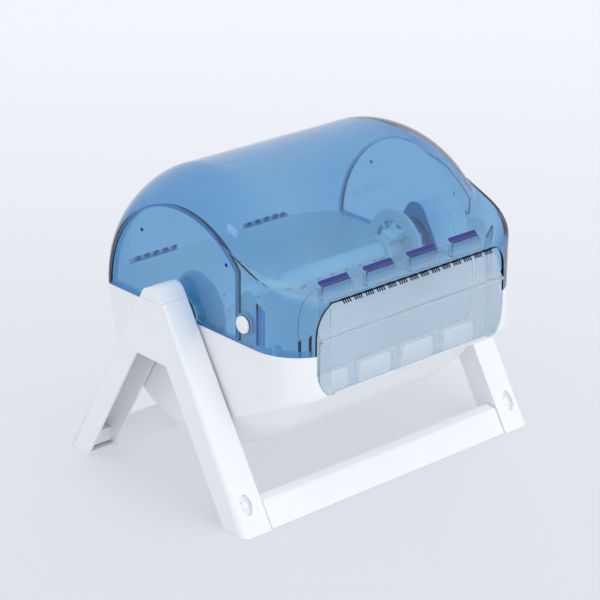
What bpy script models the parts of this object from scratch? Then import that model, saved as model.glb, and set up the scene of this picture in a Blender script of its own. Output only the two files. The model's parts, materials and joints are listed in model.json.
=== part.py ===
"""Bench-top dispenser for wide rolls of wiping paper.

A drum of two moulded shells, a white tray below and a see-through hood above, hangs between two
A-frame side stands. The roll turns on a spindle inside, and the paper leaves through a mouth at
the front, above or below a clear tear guard. The hood swings back on two rear hinges once the
push buttons on its sides are pressed.

Metres, +Z up, +X to the right, front towards -Y. Everything hangs on one empty, which stands on
the floor below the drum's centre line and is set back so that the model's box is centred on the
origin.
"""

import math

import bmesh
import bpy
from mathutils import Matrix, Vector

MM = 0.001
FIT = 0.3 * MM  # gap between pieces that touch

# Drum: a barrel about the X axis with flat round ends
AXIS_Z = 218.5 * MM  # height of the drum's axis, of the split between the shells and of the spindle
DRUM_RADIUS = 174.5 * MM
DRUM_END_RADIUS = 136.2 * MM
DRUM_HALF_LENGTH = 195.2 * MM
DRUM_STRAIGHT = 130.5 * MM  # the barrel's radius is constant up to here, then rolls in to the end
END_ROLL_POWER = 1.53
WALL = 2.8 * MM
SPLIT_GAP = 0.4 * MM

# Snout: the block that the mouth stands out on
SNOUT_FRONT = 205.0 * MM
SNOUT_SIDE_FRONT = 136.5 * MM  # its depth at the drum's ends
SNOUT_STRAIGHT = 120.0 * MM
SNOUT_CORNER_POWER = 2.1
SNOUT_TOP = 62.5 * MM  # above the axis, at the front
SNOUT_BOTTOM = 55.0 * MM  # below the axis, at the front
LEDGE_SLOPE = 0.4
LEDGE_BLEND = 24.0 * MM
NOSE_BLEND = 12.0 * MM
SNOUT_FIRST_ANGLE = 105.0  # degrees from the rear, over the top

# Mouth in the front wall, and the teeth that tear the paper
MOUTH_TOP_HALF = 130.0 * MM
MOUTH_RIM_HALF = 154.0 * MM
TOOTH_GROUPS = 14
TEETH_IN_GROUP = 2
TOOTH_DEPTH = 3.0 * MM

# Side stands
STAND_OUTER = 240.0 * MM
STAND_INNER = 198.0 * MM
STAND_HALF_DEPTH = 172.5 * MM
LEG_SLOPE = 0.6125
APEX_RADIUS = 17.0 * MM
WINDOW_TOP = 175.0 * MM
WINDOW_TOP_HALF = 27.9 * MM
WINDOW_SLOPE = 0.629
STAND_WALL = 3.0 * MM
STAND_WEB = 4.0 * MM
CAP_SEAM = 250.0 * MM
FOOT_CLEARANCE = 0.4 * MM
PAD_HEIGHT = 1.6 * MM

# Crossbars
BAR_TOP_FRONT = 30.3 * MM
BAR_TOP_BACK = 32.5 * MM
BAR_TOP_BACK_Y = 138.5 * MM
BAR_FOOT_BACK_Y = 126.0 * MM
TENON_REACH = 232.0 * MM
SCREW_X = 221.6 * MM
SCREW_Z = 33.0 * MM

# Spindle
SPINDLE_RADIUS = 12.0 * MM
HUB_FACE = 163.0 * MM
HUB_DISC_RADIUS = 48.5 * MM
JOURNAL_RADIUS = 8.0 * MM
CRADLE_BOLT_Y = 24.0 * MM
CRADLE_BOLT_Z = 196.0 * MM

# Hinges and latches
HINGE_Y = 179.0 * MM
HINGE_START = 57.0 * MM
KNUCKLE_PITCH = 7.4 * MM
KNUCKLES = 10
KNUCKLE_RADIUS = 4.2 * MM
PIN_RADIUS = 1.7 * MM
BUTTON_Y = -116.0 * MM
BUTTON_Z = 244.0 * MM
BUTTON_RADIUS = 11.0 * MM

# Tear guard
GUARD_HALF_WIDTH = 160.0 * MM
GUARD_LOW = 156.0 * MM
GUARD_HIGH = 288.5 * MM
GUARD_BACK = -170.3 * MM
GUARD_WALL = 2.6 * MM
TAB_CENTRES = [number * 70.6 * MM for number in (-1.5, -0.5, 0.5, 1.5)]

# The model's box, front to back, is centred on the origin
FRONT_REACH = 203.6 * MM
REAR_REACH = HINGE_Y + KNUCKLE_RADIUS
SETBACK = (FRONT_REACH - REAR_REACH) / 2


def material(name, colour, roughness, metallic=0.0, alpha=1.0):
    made = bpy.data.materials.new(name)
    made.use_nodes = True
    shader = made.node_tree.nodes["Principled BSDF"]
    shader.inputs["Base Color"].default_value = (*colour, 1.0)
    shader.inputs["Roughness"].default_value = roughness
    shader.inputs["Metallic"].default_value = metallic
    shader.inputs["Alpha"].default_value = alpha
    return made


def smooth_max(first, second, blend):
    near = max(blend - abs(first - second), 0.0) / blend
    return max(first, second) + near * near * blend / 4


def smooth_min(first, second, blend):
    return -smooth_max(-first, -second, blend)


def arc(centre, radius, start, end, steps):
    """Points on an arc, with the angles in degrees."""
    turns = [math.radians(start + (end - start) * step / steps) for step in range(steps + 1)]
    return [(centre[0] + radius * math.cos(t), centre[1] + radius * math.sin(t)) for t in turns]


def rounded_box(low, high, radius, steps=4):
    """Outline of a rectangle with round corners, anticlockwise."""
    corners = (
        ((high[0] - radius, low[1] + radius), -90),
        ((high[0] - radius, high[1] - radius), 0),
        ((low[0] + radius, high[1] - radius), 90),
        ((low[0] + radius, low[1] + radius), 180),
    )
    return [point for centre, start in corners for point in arc(centre, radius, start, start + 90, steps)]


class Workshop:
    """Adds objects to the scene, all of them standing on one empty."""

    def __init__(self, setback):
        self.root = bpy.data.objects.new("dispenser", None)
        self.root.location = (0, setback, 0)
        bpy.context.scene.collection.objects.link(self.root)

    def add(self, name, mesh_maker, finish=None, origin=(0, 0, 0)):
        """Makes a mesh object from a bmesh, with its origin at the given point."""
        bmesh.ops.remove_doubles(mesh_maker, verts=mesh_maker.verts, dist=1e-6)
        bmesh.ops.recalc_face_normals(mesh_maker, faces=mesh_maker.faces)
        bmesh.ops.translate(mesh_maker, verts=mesh_maker.verts, vec=-Vector(origin))
        mesh = bpy.data.meshes.new(name)
        mesh_maker.to_mesh(mesh)
        mesh_maker.free()
        made = bpy.data.objects.new(name, mesh)
        made.location = origin
        made.parent = self.root
        bpy.context.scene.collection.objects.link(made)
        if finish:
            mesh.materials.append(finish)
        return made

    def prism(self, name, outline, axis, low, high, finish=None, origin=(0, 0, 0)):
        """Extrudes a flat outline along X, Y or Z. Its points give the other two axes in order."""
        maker = bmesh.new()

        def place(point, along):
            spot = list(point)
            spot.insert("XYZ".index(axis), along)
            return spot

        bottom = [maker.verts.new(place(point, low)) for point in outline]
        top = [maker.verts.new(place(point, high)) for point in outline]
        maker.faces.new(bottom)
        maker.faces.new(top)
        for index, start in enumerate(bottom):
            after = (index + 1) % len(bottom)
            maker.faces.new((start, bottom[after], top[after], top[index]))
        return self.add(name, maker, finish, origin)

    def box(self, name, low, high, finish=None, origin=(0, 0, 0)):
        outline = ((low[0], low[1]), (high[0], low[1]), (high[0], high[1]), (low[0], high[1]))
        return self.prism(name, outline, "Z", low[2], high[2], finish, origin)

    def turned(self, name, profile, centre, finish=None, direction=(1, 0, 0), sides=24, origin=None):
        """Spins (along, radius) points about a line through centre. The profile ends on the line."""
        maker = bmesh.new()
        rings = []
        for along, radius in profile:
            if radius == 0:
                rings.append([maker.verts.new((along, 0, 0))])
                continue
            turns = [2 * math.pi * side / sides for side in range(sides)]
            rings.append([maker.verts.new((along, radius * math.cos(t), radius * math.sin(t))) for t in turns])
        for first, second in zip(rings, rings[1:]):
            for side in range(sides):
                after = (side + 1) % sides
                corners = (
                    first[side % len(first)],
                    first[after % len(first)],
                    second[after % len(second)],
                    second[side % len(second)],
                )
                maker.faces.new(list(dict.fromkeys(corners)))
        turn = Vector((1, 0, 0)).rotation_difference(Vector(direction)).to_matrix().to_4x4()
        bmesh.ops.transform(maker, matrix=Matrix.Translation(centre) @ turn, verts=maker.verts)
        return self.add(name, maker, finish, origin or centre)

    def rod(self, name, start, length, radius, finish=None, direction=(1, 0, 0), sides=16, bore=0.0, origin=None):
        """A round bar or, with a bore, a tube."""
        outside = [(0, radius), (length, radius)]
        if bore:
            profile = [(0, bore), *outside, (length, bore), (0, bore)]
        else:
            profile = [(0, 0), *outside, (length, 0)]
        return self.turned(name, profile, start, finish, direction, sides, origin)


def boolean(target, tool, operation):
    step = target.modifiers.new(f"{operation.title()} {tool.name}", "BOOLEAN")
    step.operation = operation
    step.solver = "EXACT"
    step.object = tool
    tool.hide_render = True
    tool.display_type = "WIRE"


def cut(target, *tools):
    for tool in tools:
        boolean(target, tool, "DIFFERENCE")


def join(target, *tools):
    for tool in tools:
        boolean(target, tool, "UNION")


def keep(target, tool):
    boolean(target, tool, "INTERSECT")


def shade(target, degrees=35):
    target.data.shade_smooth()
    target.data.set_sharp_from_angle(angle=math.radians(degrees))


# ---- Drum shells ----


def drum_radius(x):
    past = max(abs(x) - DRUM_STRAIGHT, 0) / (DRUM_HALF_LENGTH - DRUM_STRAIGHT)
    roll = max(1 - past**END_ROLL_POWER, 0) ** (1 / END_ROLL_POWER)
    return DRUM_END_RADIUS + (DRUM_RADIUS - DRUM_END_RADIUS) * roll


def snout_depth(x):
    """How far the front wall stands from the axis at a station along the drum."""
    past = max(abs(x) - SNOUT_STRAIGHT, 0) / (DRUM_HALF_LENGTH - SNOUT_STRAIGHT)
    corner = max(1 - past**SNOUT_CORNER_POWER, 0) ** (1 / SNOUT_CORNER_POWER)
    return SNOUT_SIDE_FRONT + (SNOUT_FRONT - SNOUT_SIDE_FRONT) * corner


def skin_radius(x, angle, height):
    """Distance from the axis to the outer skin, at an angle from the rear in degrees."""
    drum = drum_radius(x)
    if angle < SNOUT_FIRST_ANGLE:
        return drum
    forward = -math.cos(math.radians(angle))
    upward = math.sin(math.radians(angle))
    front = snout_depth(x) / forward
    ledge = (height + LEDGE_SLOPE * SNOUT_FRONT) / (upward + LEDGE_SLOPE * forward)
    snout = smooth_min(front, ledge, NOSE_BLEND)
    blend = LEDGE_BLEND * min(1.0, (DRUM_HALF_LENGTH - abs(x)) / (DRUM_HALF_LENGTH - DRUM_STRAIGHT)) + 2 * MM
    return smooth_max(drum, snout, blend)


def stations():
    """Places along the drum, closer together where its ends roll in."""
    roll = DRUM_HALF_LENGTH - DRUM_STRAIGHT
    half = [DRUM_STRAIGHT + roll * math.sin(math.radians(t)) for t in (90, 75, 60, 46, 32, 16, 0)]
    half += [SNOUT_STRAIGHT - 15 * MM, 50 * MM]
    return [-x for x in half] + [x for x in reversed(half)]


def shell(shop, name, side, finish):
    """One half of the drum as an open shell. side is +1 for the hood and -1 for the tray."""
    angles = [*range(0, 150, 10), 150, 154, 157, 160, 163, 166, 170, 175, 180]
    height = SNOUT_TOP if side > 0 else SNOUT_BOTTOM
    squeeze = (DRUM_HALF_LENGTH - WALL) / DRUM_HALF_LENGTH
    maker = bmesh.new()

    def grid(scale, inset):
        rows = []
        for x in stations():
            row = []
            for angle in angles:
                radius = skin_radius(x, angle, height) - inset
                turn = math.radians(angle)
                z = AXIS_Z + side * (radius * math.sin(turn) + SPLIT_GAP / 2)
                row.append(maker.verts.new((x * scale, radius * math.cos(turn), z)))
            rows.append(row)
        for first, second in zip(rows, rows[1:]):
            for index in range(len(angles) - 1):
                maker.faces.new((first[index], first[index + 1], second[index + 1], second[index]))
        maker.faces.new(rows[0])
        maker.faces.new(rows[-1])
        return rows

    outside = grid(1.0, 0.0)
    inside = grid(squeeze, WALL)
    for edge in (0, -1):
        for index in range(len(outside) - 1):
            maker.faces.new(
                (outside[index][edge], outside[index + 1][edge], inside[index + 1][edge], inside[index][edge])
            )
        maker.faces.new((outside[edge][0], outside[edge][-1], inside[edge][-1], inside[edge][0]))
    made = shop.add(name, maker, finish, origin=(0, HINGE_Y, AXIS_Z) if side > 0 else (0, 0, AXIS_Z))
    shade(made)
    return made


def mouth_cutter(shop, name, side):
    """The mouth's half in one shell: narrower away from the split, with saw teeth on its far edge."""
    height = SNOUT_TOP if side > 0 else SNOUT_BOTTOM
    corner = 26 * MM
    rim = [(MOUTH_RIM_HALF, -5 * MM), (MOUTH_RIM_HALF, height - corner)]
    shoulder = [(MOUTH_RIM_HALF - 7 * MM, height - 13 * MM), (MOUTH_RIM_HALF - 14 * MM, height - 4 * MM)]
    pitch = 2 * MOUTH_TOP_HALF / TOOTH_GROUPS
    tooth = pitch / (TEETH_IN_GROUP + 1)
    teeth = []
    for group in range(TOOTH_GROUPS):
        start = MOUTH_TOP_HALF - group * pitch
        teeth.append((start, height))
        for number in range(TEETH_IN_GROUP):
            root = start - (number + 0.5) * tooth
            teeth += [(root, height), (root - 0.6 * tooth, height - TOOTH_DEPTH), (root - 0.8 * tooth, height)]
    right = rim + shoulder
    left = [(-x, z) for x, z in reversed(right)]
    outline = [(x, AXIS_Z + side * z) for x, z in right + teeth + [(-MOUTH_TOP_HALF, height)] + left]
    return shop.prism(name, outline, "Y", -240 * MM, -(SNOUT_FRONT - 30 * MM), origin=(0, -SNOUT_FRONT, AXIS_Z))


def knuckles(shop, owner, side):
    """This shell's share of the hinge knuckles, each with the web that carries it."""
    sweep = arc((HINGE_Y, AXIS_Z), KNUCKLE_RADIUS, side * 172, side * 450, 10)
    root = DRUM_RADIUS - 1.6 * MM
    outline = [(root, AXIS_Z + side * 0.6 * MM), *sweep, (root, AXIS_Z + side * 8 * MM)]
    maker = bmesh.new()
    width = KNUCKLE_PITCH - FIT
    for hand in (-1, 1):
        for number in range(KNUCKLES):
            if (number % 2 == 0) != (side > 0):
                continue
            start = hand * (HINGE_START + (number + 0.5) * KNUCKLE_PITCH) - width / 2
            near = [maker.verts.new((start, *point)) for point in outline]
            far = [maker.verts.new((start + width, *point)) for point in outline]
            maker.faces.new(near)
            maker.faces.new(far)
            for index, corner in enumerate(near):
                after = (index + 1) % len(near)
                maker.faces.new((corner, near[after], far[after], far[index]))
    return shop.add(f"{owner}_knuckles", maker)


def hinge_bore(shop, name):
    return [
        shop.rod(f"{name}_{label}", (x, HINGE_Y, AXIS_Z), 86 * MM, PIN_RADIUS + FIT, sides=10)
        for label, x in (("left", -HINGE_START - 80 * MM), ("right", HINGE_START - 6 * MM))
    ]


def hood(shop, blue):
    made = shell(shop, "hood", 1, blue)
    cut(made, mouth_cutter(shop, "hood_mouth_cutter", 1))
    join(made, knuckles(shop, "hood", 1))
    cut(made, *hinge_bore(shop, "hood_hinge_bore"))
    for number, centre in enumerate(TAB_CENTRES):
        half = 22.3 * MM
        low = (centre - half, -178.4 * MM, 279 * MM)
        high = (centre + half, -176 * MM, 291.4 * MM)
        join(made, shop.box(f"hood_tab_{number}", low, high))
    for label, hand in (("left", -1), ("right", 1)):
        start = (hand * (DRUM_HALF_LENGTH + 5 * MM), BUTTON_Y, BUTTON_Z)
        hole = shop.rod(f"hood_{label}_button_hole", start, 12 * MM, BUTTON_RADIUS + 0.4 * MM, None, (-hand, 0, 0), 24)
        cut(made, hole)
    return made


def tray(shop, white):
    made = shell(shop, "tray", -1, white)
    cut(made, mouth_cutter(shop, "tray_mouth_cutter", -1))
    join(made, knuckles(shop, "tray", -1))
    cut(made, *hinge_bore(shop, "tray_hinge_bore"))
    for number, centre in enumerate(TAB_CENTRES):
        half = 26 * MM
        outline = rounded_box((centre - half, 140 * MM), (centre + half, 176 * MM), 5 * MM, 3)
        tab = shop.prism(f"tray_tab_{number}", outline, "Y", -168.9 * MM, -166.4 * MM)
        keep(tab, shop.box(f"tray_tab_{number}_trim", (-0.2, -0.2, 146.4 * MM), (0.2, 0.2, 0.2)))
        join(made, tab)
    for label, hand in (("left", -1), ("right", 1)):
        for place, y in (("front", -CRADLE_BOLT_Y), ("rear", CRADLE_BOLT_Y)):
            start = (hand * 180 * MM, y, CRADLE_BOLT_Z)
            cut(made, shop.rod(f"tray_{label}_{place}_bolt_hole", start, 30 * MM, 3.3 * MM, None, (hand, 0, 0)))
    return made


def hinge_pins(shop, steel):
    for label, start in (("left", -HINGE_START - 74 * MM), ("right", HINGE_START)):
        pin = shop.rod(f"{label}_hinge_pin", (start, HINGE_Y, AXIS_Z), 74 * MM, PIN_RADIUS, steel, sides=12)
        shade(pin)


# ---- Tear guard ----


def guard_face_outline():
    """Front of the guard, looking along Y: widest at the split and narrower at its torn edges."""
    low = AXIS_Z - 51.2 * MM
    high = AXIS_Z + 61 * MM
    right = [(130.5 * MM, low), (137 * MM, low + 8 * MM), (143 * MM, low + 32 * MM), (146.5 * MM, AXIS_Z)]
    right += [(146.5 * MM, AXIS_Z + 18 * MM), (143.5 * MM, high - 24 * MM), (137.5 * MM, high - 8 * MM), (129 * MM, high)]
    return right + [(-x, z) for x, z in reversed(right)]


def guard_face_section():
    """(y, z) outline of the guard's face: a flat top strip, a cove, a ridge and a flat lower panel."""
    strip = -194 * MM
    ridge = -203.6 * MM
    panel = -199.5 * MM
    cove = [
        (ridge - (ridge - strip) * math.cos(math.radians(t)), 258 * MM - 20 * MM * math.sin(math.radians(t)))
        for t in (0, 18, 36, 54, 72, 90)
    ]
    front = [(strip, 290 * MM), *cove, (ridge, 235 * MM), (panel, 231.5 * MM), (panel, 150 * MM)]
    back = [(y + GUARD_WALL, z) for y, z in reversed(front)]
    return front + back


def tear_guard(shop, clear):
    made = shop.prism("tear_guard", guard_face_section(), "X", -150 * MM, 150 * MM, clear, (0, -SNOUT_FRONT, AXIS_Z))
    keep(made, shop.prism("guard_outline", guard_face_outline(), "Y", -0.25, -0.1))
    frame_front = GUARD_BACK - GUARD_WALL
    low = (-GUARD_HALF_WIDTH, GUARD_LOW)
    high = (GUARD_HALF_WIDTH, GUARD_HIGH)
    frame = shop.prism("guard_frame", rounded_box(low, high, 33 * MM), "Y", frame_front, GUARD_BACK)
    window = rounded_box((-124 * MM, 184 * MM), (124 * MM, 264 * MM), 12 * MM)
    cut(frame, shop.prism("guard_window", window, "Y", -0.25, -0.1))
    for number, centre in enumerate(TAB_CENTRES):
        block = shop.box(
            f"guard_top_pocket_{number}",
            (centre - 24.6 * MM, -181.5 * MM, 274 * MM),
            (centre + 24.6 * MM, frame_front + 1 * MM, 284.5 * MM),
        )
        hollow = shop.box(
            f"guard_top_hollow_{number}",
            (centre - 23.1 * MM, -180 * MM, 275.6 * MM),
            (centre + 23.1 * MM, frame_front, 295 * MM),
        )
        cut(block, hollow)
        join(frame, block)
        block = shop.box(
            f"guard_low_pocket_{number}",
            (centre - 28.5 * MM, GUARD_BACK - 1 * MM, 158 * MM),
            (centre + 28.5 * MM, -163.6 * MM, 179 * MM),
        )
        hollow = shop.box(
            f"guard_low_hollow_{number}",
            (centre - 26.5 * MM, GUARD_BACK, 150 * MM),
            (centre + 26.5 * MM, -165.4 * MM, 176.6 * MM),
        )
        cut(block, hollow)
        join(frame, block)
    join(made, frame)
    for label, hand in (("left", -1), ("right", 1)):
        near, far = sorted((hand * 127.5 * MM, hand * 130 * MM))
        wall = shop.box(f"guard_{label}_wall", (near, -198.5 * MM, 176 * MM), (far, frame_front + 1 * MM, 262 * MM))
        join(made, wall)
    return made


# ---- Side stands ----


def leg_edge(z):
    return STAND_HALF_DEPTH - LEG_SLOPE * z


def stand_outline(inset=0.0, floor=FOOT_CLEARANCE):
    """(y, z) outline of the A, with a round apex. inset moves it inwards."""
    tilt = math.atan(LEG_SLOPE)
    apex = STAND_HALF_DEPTH / LEG_SLOPE
    centre = (0, apex - APEX_RADIUS / math.sin(tilt))
    turn = 90 - math.degrees(tilt)
    cap = arc(centre, APEX_RADIUS - inset, 90 - turn, 90 + turn, 8)
    foot = leg_edge(floor) - inset / math.cos(tilt)
    return [(-foot, floor), (foot, floor), *cap]


def window_half(z):
    return WINDOW_TOP_HALF + WINDOW_SLOPE * (WINDOW_TOP - z)


def face_point(x, z, front):
    """A point on the tilted outer face of a leg, and the direction into the leg."""
    tilt = math.atan(LEG_SLOPE)
    inward = Vector((0, math.cos(tilt), -math.sin(tilt)))
    point = Vector((x, -leg_edge(z), z))
    if not front:
        inward.y, point.y = -inward.y, -point.y
    return point, inward


def side_stand(shop, hand, label, white):
    def across(inner, outer):
        return sorted((hand * inner, hand * outer))

    def whole(name, finish=None):
        made = shop.prism(name, stand_outline(), "X", *across(STAND_INNER, STAND_OUTER), finish)
        edge = made.modifiers.new("Round edges", "BEVEL")
        edge.width = 4.5 * MM
        edge.segments = 3
        edge.limit_method = "ANGLE"
        edge.angle_limit = math.radians(50)
        return made

    stand = whole(f"{label}_side_stand", white)
    for number, y in enumerate((-CRADLE_BOLT_Y, CRADLE_BOLT_Y)):
        start = (hand * (STAND_INNER + 2 * MM), y, CRADLE_BOLT_Z)
        join(stand, shop.rod(f"{label}_stand_pad_{number}", start, 4.5 * MM, 13 * MM, None, (-hand, 0, 0), 20))
    window = [(-window_half(0.0), -0.01), (window_half(0.0), -0.01)]
    window += [(WINDOW_TOP_HALF, WINDOW_TOP), (-WINDOW_TOP_HALF, WINDOW_TOP)]
    hollow = stand_outline(STAND_WEB, 5 * MM)
    inside = across(STAND_INNER + STAND_WALL, STAND_OUTER - STAND_WALL)
    cut(
        stand,
        shop.prism(f"{label}_stand_hollow", hollow, "X", *inside),
        shop.prism(f"{label}_stand_window", window, "X", *across(0.15, 0.3)),
        shop.box(f"{label}_stand_top_trim", (-0.3, -0.1, CAP_SEAM), (0.3, 0.1, 0.4)),
    )
    for place, front in (("front", True), ("rear", False)):
        sign = -1 if front else 1
        face, inward = face_point(hand * SCREW_X, SCREW_Z, front)
        boss = shop.rod(f"{label}_{place}_boss", face + inward * 2 * MM, 7.5 * MM, 10.5 * MM, None, inward, 20)
        join(stand, boss)
        cut(stand, shop.rod(f"{label}_{place}_recess", face - inward * 5 * MM, 11 * MM, 8 * MM, None, inward, 20))
        cut(stand, shop.rod(f"{label}_{place}_screw_hole", face, 20 * MM, 2.5 * MM, None, inward, 12))
        near, far = sorted((sign * 151.4 * MM, sign * 134.6 * MM))
        gate = across(STAND_INNER - 5 * MM, STAND_INNER + 5 * MM)
        cut(stand, shop.box(f"{label}_{place}_tenon_hole", (gate[0], near, 7.6 * MM), (gate[1], far, 26.4 * MM)))
        near, far = sorted((sign * 166 * MM, sign * 141 * MM))
        wide = across(STAND_INNER + 6 * MM, STAND_OUTER - 6 * MM)
        recess = shop.box(f"{label}_{place}_pad_recess", (wide[0], near, -0.01), (wide[1], far, PAD_HEIGHT + FIT))
        cut(stand, recess)
    for number, y in enumerate((-CRADLE_BOLT_Y, CRADLE_BOLT_Y)):
        start = (hand * 190 * MM, y, CRADLE_BOLT_Z)
        cut(stand, shop.rod(f"{label}_stand_bolt_hole_{number}", start, 15 * MM, 3.3 * MM, None, (hand, 0, 0)))
    cap = whole(f"{label}_apex_cap", white)
    keep(cap, shop.box(f"{label}_cap_trim", (-0.3, -0.1, CAP_SEAM + FIT), (0.3, 0.1, 0.4)))
    peg = across(STAND_INNER + 5 * MM, STAND_OUTER - 5 * MM)
    join(cap, shop.box(f"{label}_cap_peg", (peg[0], -8 * MM, 240 * MM), (peg[1], 8 * MM, CAP_SEAM + 2 * MM)))
    shade(stand)
    shade(cap)


def foot_pads(shop, rubber):
    for label, hand in (("left", -1), ("right", 1)):
        for place, sign in (("front", -1), ("rear", 1)):
            near, far = sorted((sign * 165.6 * MM, sign * 141.4 * MM))
            low, high = sorted((hand * (STAND_INNER + 6.4 * MM), hand * (STAND_OUTER - 6.4 * MM)))
            outline = rounded_box((low, near), (high, far), 4 * MM, 3)
            shop.prism(f"{place}_{label}_foot_pad", outline, "Z", 0, PAD_HEIGHT, rubber)


def crossbar(shop, place, sign, white):
    foot = STAND_HALF_DEPTH - LEG_SLOPE * FOOT_CLEARANCE
    corners = [(foot, FOOT_CLEARANCE), (leg_edge(BAR_TOP_FRONT), BAR_TOP_FRONT)]
    corners += [(BAR_TOP_BACK_Y, BAR_TOP_BACK), (BAR_FOOT_BACK_Y, FOOT_CLEARANCE)]
    reach = STAND_INNER - FIT
    bar = shop.prism(f"{place}_crossbar", [(sign * y, z) for y, z in corners], "X", -reach, reach, white)
    edge = bar.modifiers.new("Round edges", "BEVEL")
    edge.width = 2.5 * MM
    edge.segments = 2
    edge.limit_method = "ANGLE"
    edge.angle_limit = math.radians(40)
    hollow = [(166 * MM, -5 * MM), (152.6 * MM, 26.8 * MM), (141 * MM, 28.6 * MM), (129 * MM, -5 * MM)]
    hollow = [(sign * y, z) for y, z in hollow]
    cut(bar, shop.prism(f"{place}_bar_hollow", hollow, "X", -reach + 6 * MM, reach - 6 * MM))
    near, far = sorted((sign * 151 * MM, sign * 135 * MM))
    for label, hand in (("left", -1), ("right", 1)):
        low, high = sorted((hand * (reach - 3 * MM), hand * TENON_REACH))
        join(bar, shop.box(f"{place}_{label}_tenon", (low, near, 8 * MM), (high, far, 26 * MM)))
        face, inward = face_point(hand * SCREW_X, SCREW_Z, sign < 0)
        cut(bar, shop.rod(f"{place}_{label}_boss_room", face, 9.9 * MM, 11 * MM, None, inward, 20))
        cut(bar, shop.rod(f"{place}_{label}_pilot", face, 30 * MM, 2.3 * MM, None, inward, 12))
    shade(bar)


def crossbar_screws(shop, white):
    for label, hand in (("left", -1), ("right", 1)):
        for place, front in (("front", True), ("rear", False)):
            face, inward = face_point(hand * SCREW_X, SCREW_Z, front)
            head = 6.3 * MM - 3 * MM
            profile = [(head, 0), (head, 4 * MM), (head + 0.8 * MM, 5.4 * MM), (head + 2.4 * MM, 5.4 * MM)]
            profile += [(head + 2.4 * MM, 2 * MM), (21 * MM, 2 * MM), (22.5 * MM, 0)]
            screw = shop.turned(f"{place}_{label}_crossbar_screw", profile, face, white, inward, 16)
            shade(screw)


# ---- Spindle, hubs and cradles ----


def cradle(shop, hand, label, grey):
    outer = hand * (DRUM_HALF_LENGTH - WALL - FIT)
    inner = hand * (DRUM_HALF_LENGTH - WALL - 9 * MM)
    arm = 13 * MM
    mouth = JOURNAL_RADIUS + 0.4 * MM
    top = AXIS_Z + 14 * MM
    half = 38 * MM
    low = CRADLE_BOLT_Z - 16 * MM
    outline = [(-half, low), (half, low), (half, AXIS_Z - 12 * MM), (arm + mouth - 4 * MM, AXIS_Z), (arm + mouth - 4 * MM, top)]
    outline += [(mouth, top), *reversed(arc((0, AXIS_Z), mouth, 180, 360, 10)), (-mouth, top)]
    outline += [(-arm - mouth + 4 * MM, top), (-arm - mouth + 4 * MM, AXIS_Z), (-half, AXIS_Z - 12 * MM)]
    made = shop.prism(f"{label}_spindle_cradle", outline, "X", *sorted((inner, outer)), grey)
    for number, y in enumerate((-CRADLE_BOLT_Y, CRADLE_BOLT_Y)):
        start = (hand * 178 * MM, y, CRADLE_BOLT_Z)
        cut(made, shop.rod(f"{label}_cradle_hole_{number}", start, 25 * MM, 3.3 * MM, None, (hand, 0, 0)))


def stand_bolts(shop, steel):
    """The bolts that clamp cradle, tray and stand together, with a nut on each inside the stand."""
    head_face = DRUM_HALF_LENGTH - WALL - 9 * MM - FIT
    nut_face = STAND_INNER + STAND_WALL + FIT
    for label, hand in (("left", -1), ("right", 1)):
        for place, y in (("front", -CRADLE_BOLT_Y), ("rear", CRADLE_BOLT_Y)):
            start = (hand * head_face, y, CRADLE_BOLT_Z)
            profile = [(-3.2 * MM, 0), (-3.2 * MM, 3.6 * MM), (-2 * MM, 5.6 * MM), (0, 6 * MM), (0, 3 * MM)]
            profile += [(30 * MM, 3 * MM), (31 * MM, 2.2 * MM), (31 * MM, 0)]
            bolt = shop.turned(f"{place}_{label}_stand_bolt", profile, start, steel, (hand, 0, 0), 16)
            shade(bolt)
            start = (hand * nut_face, y, CRADLE_BOLT_Z)
            nut = shop.rod(f"{place}_{label}_stand_nut", start, 5 * MM, 5.8 * MM, steel, (hand, 0, 0), 6, 3.9 * MM)
            shade(nut, 20)


def spindle_beam(shop, grey):
    """Half-round beam with a truss under it, and a round journal at each end."""
    shaft = HUB_FACE + 3 * MM
    end = DRUM_HALF_LENGTH - WALL - 1.5 * MM
    centre = (0, 0, AXIS_Z)
    profile = [(-end, 0), (-end, JOURNAL_RADIUS - 1 * MM), (-end + 1 * MM, JOURNAL_RADIUS)]
    profile += [(-shaft, JOURNAL_RADIUS), (-shaft, SPINDLE_RADIUS)]
    profile += [(-x, radius) for x, radius in reversed(profile)]
    beam = shop.turned("spindle_beam", profile, centre, grey, sides=32)
    for label, sign in (("front", -1), ("rear", 1)):
        near, far = sorted((sign * 3.5 * MM, sign * 20 * MM))
        low = (-HUB_FACE + 33 * MM, near, AXIS_Z - 20 * MM)
        high = (HUB_FACE - 4 * MM, far, AXIS_Z - 2.5 * MM)
        cut(beam, shop.box(f"beam_{label}_flank", low, high))
    pitch = 54 * MM
    top = AXIS_Z - 3.2 * MM
    bottom = AXIS_Z - 9.6 * MM
    for number in range(5):
        centre_x = (number - 2) * pitch
        down = [(centre_x - 22 * MM, top), (centre_x + 22 * MM, top), (centre_x + 3 * MM, bottom), (centre_x - 3 * MM, bottom)]
        cut(beam, shop.prism(f"beam_truss_{number}", down, "Y", -0.02, 0.02))
    shade(beam)
    return beam


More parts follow.
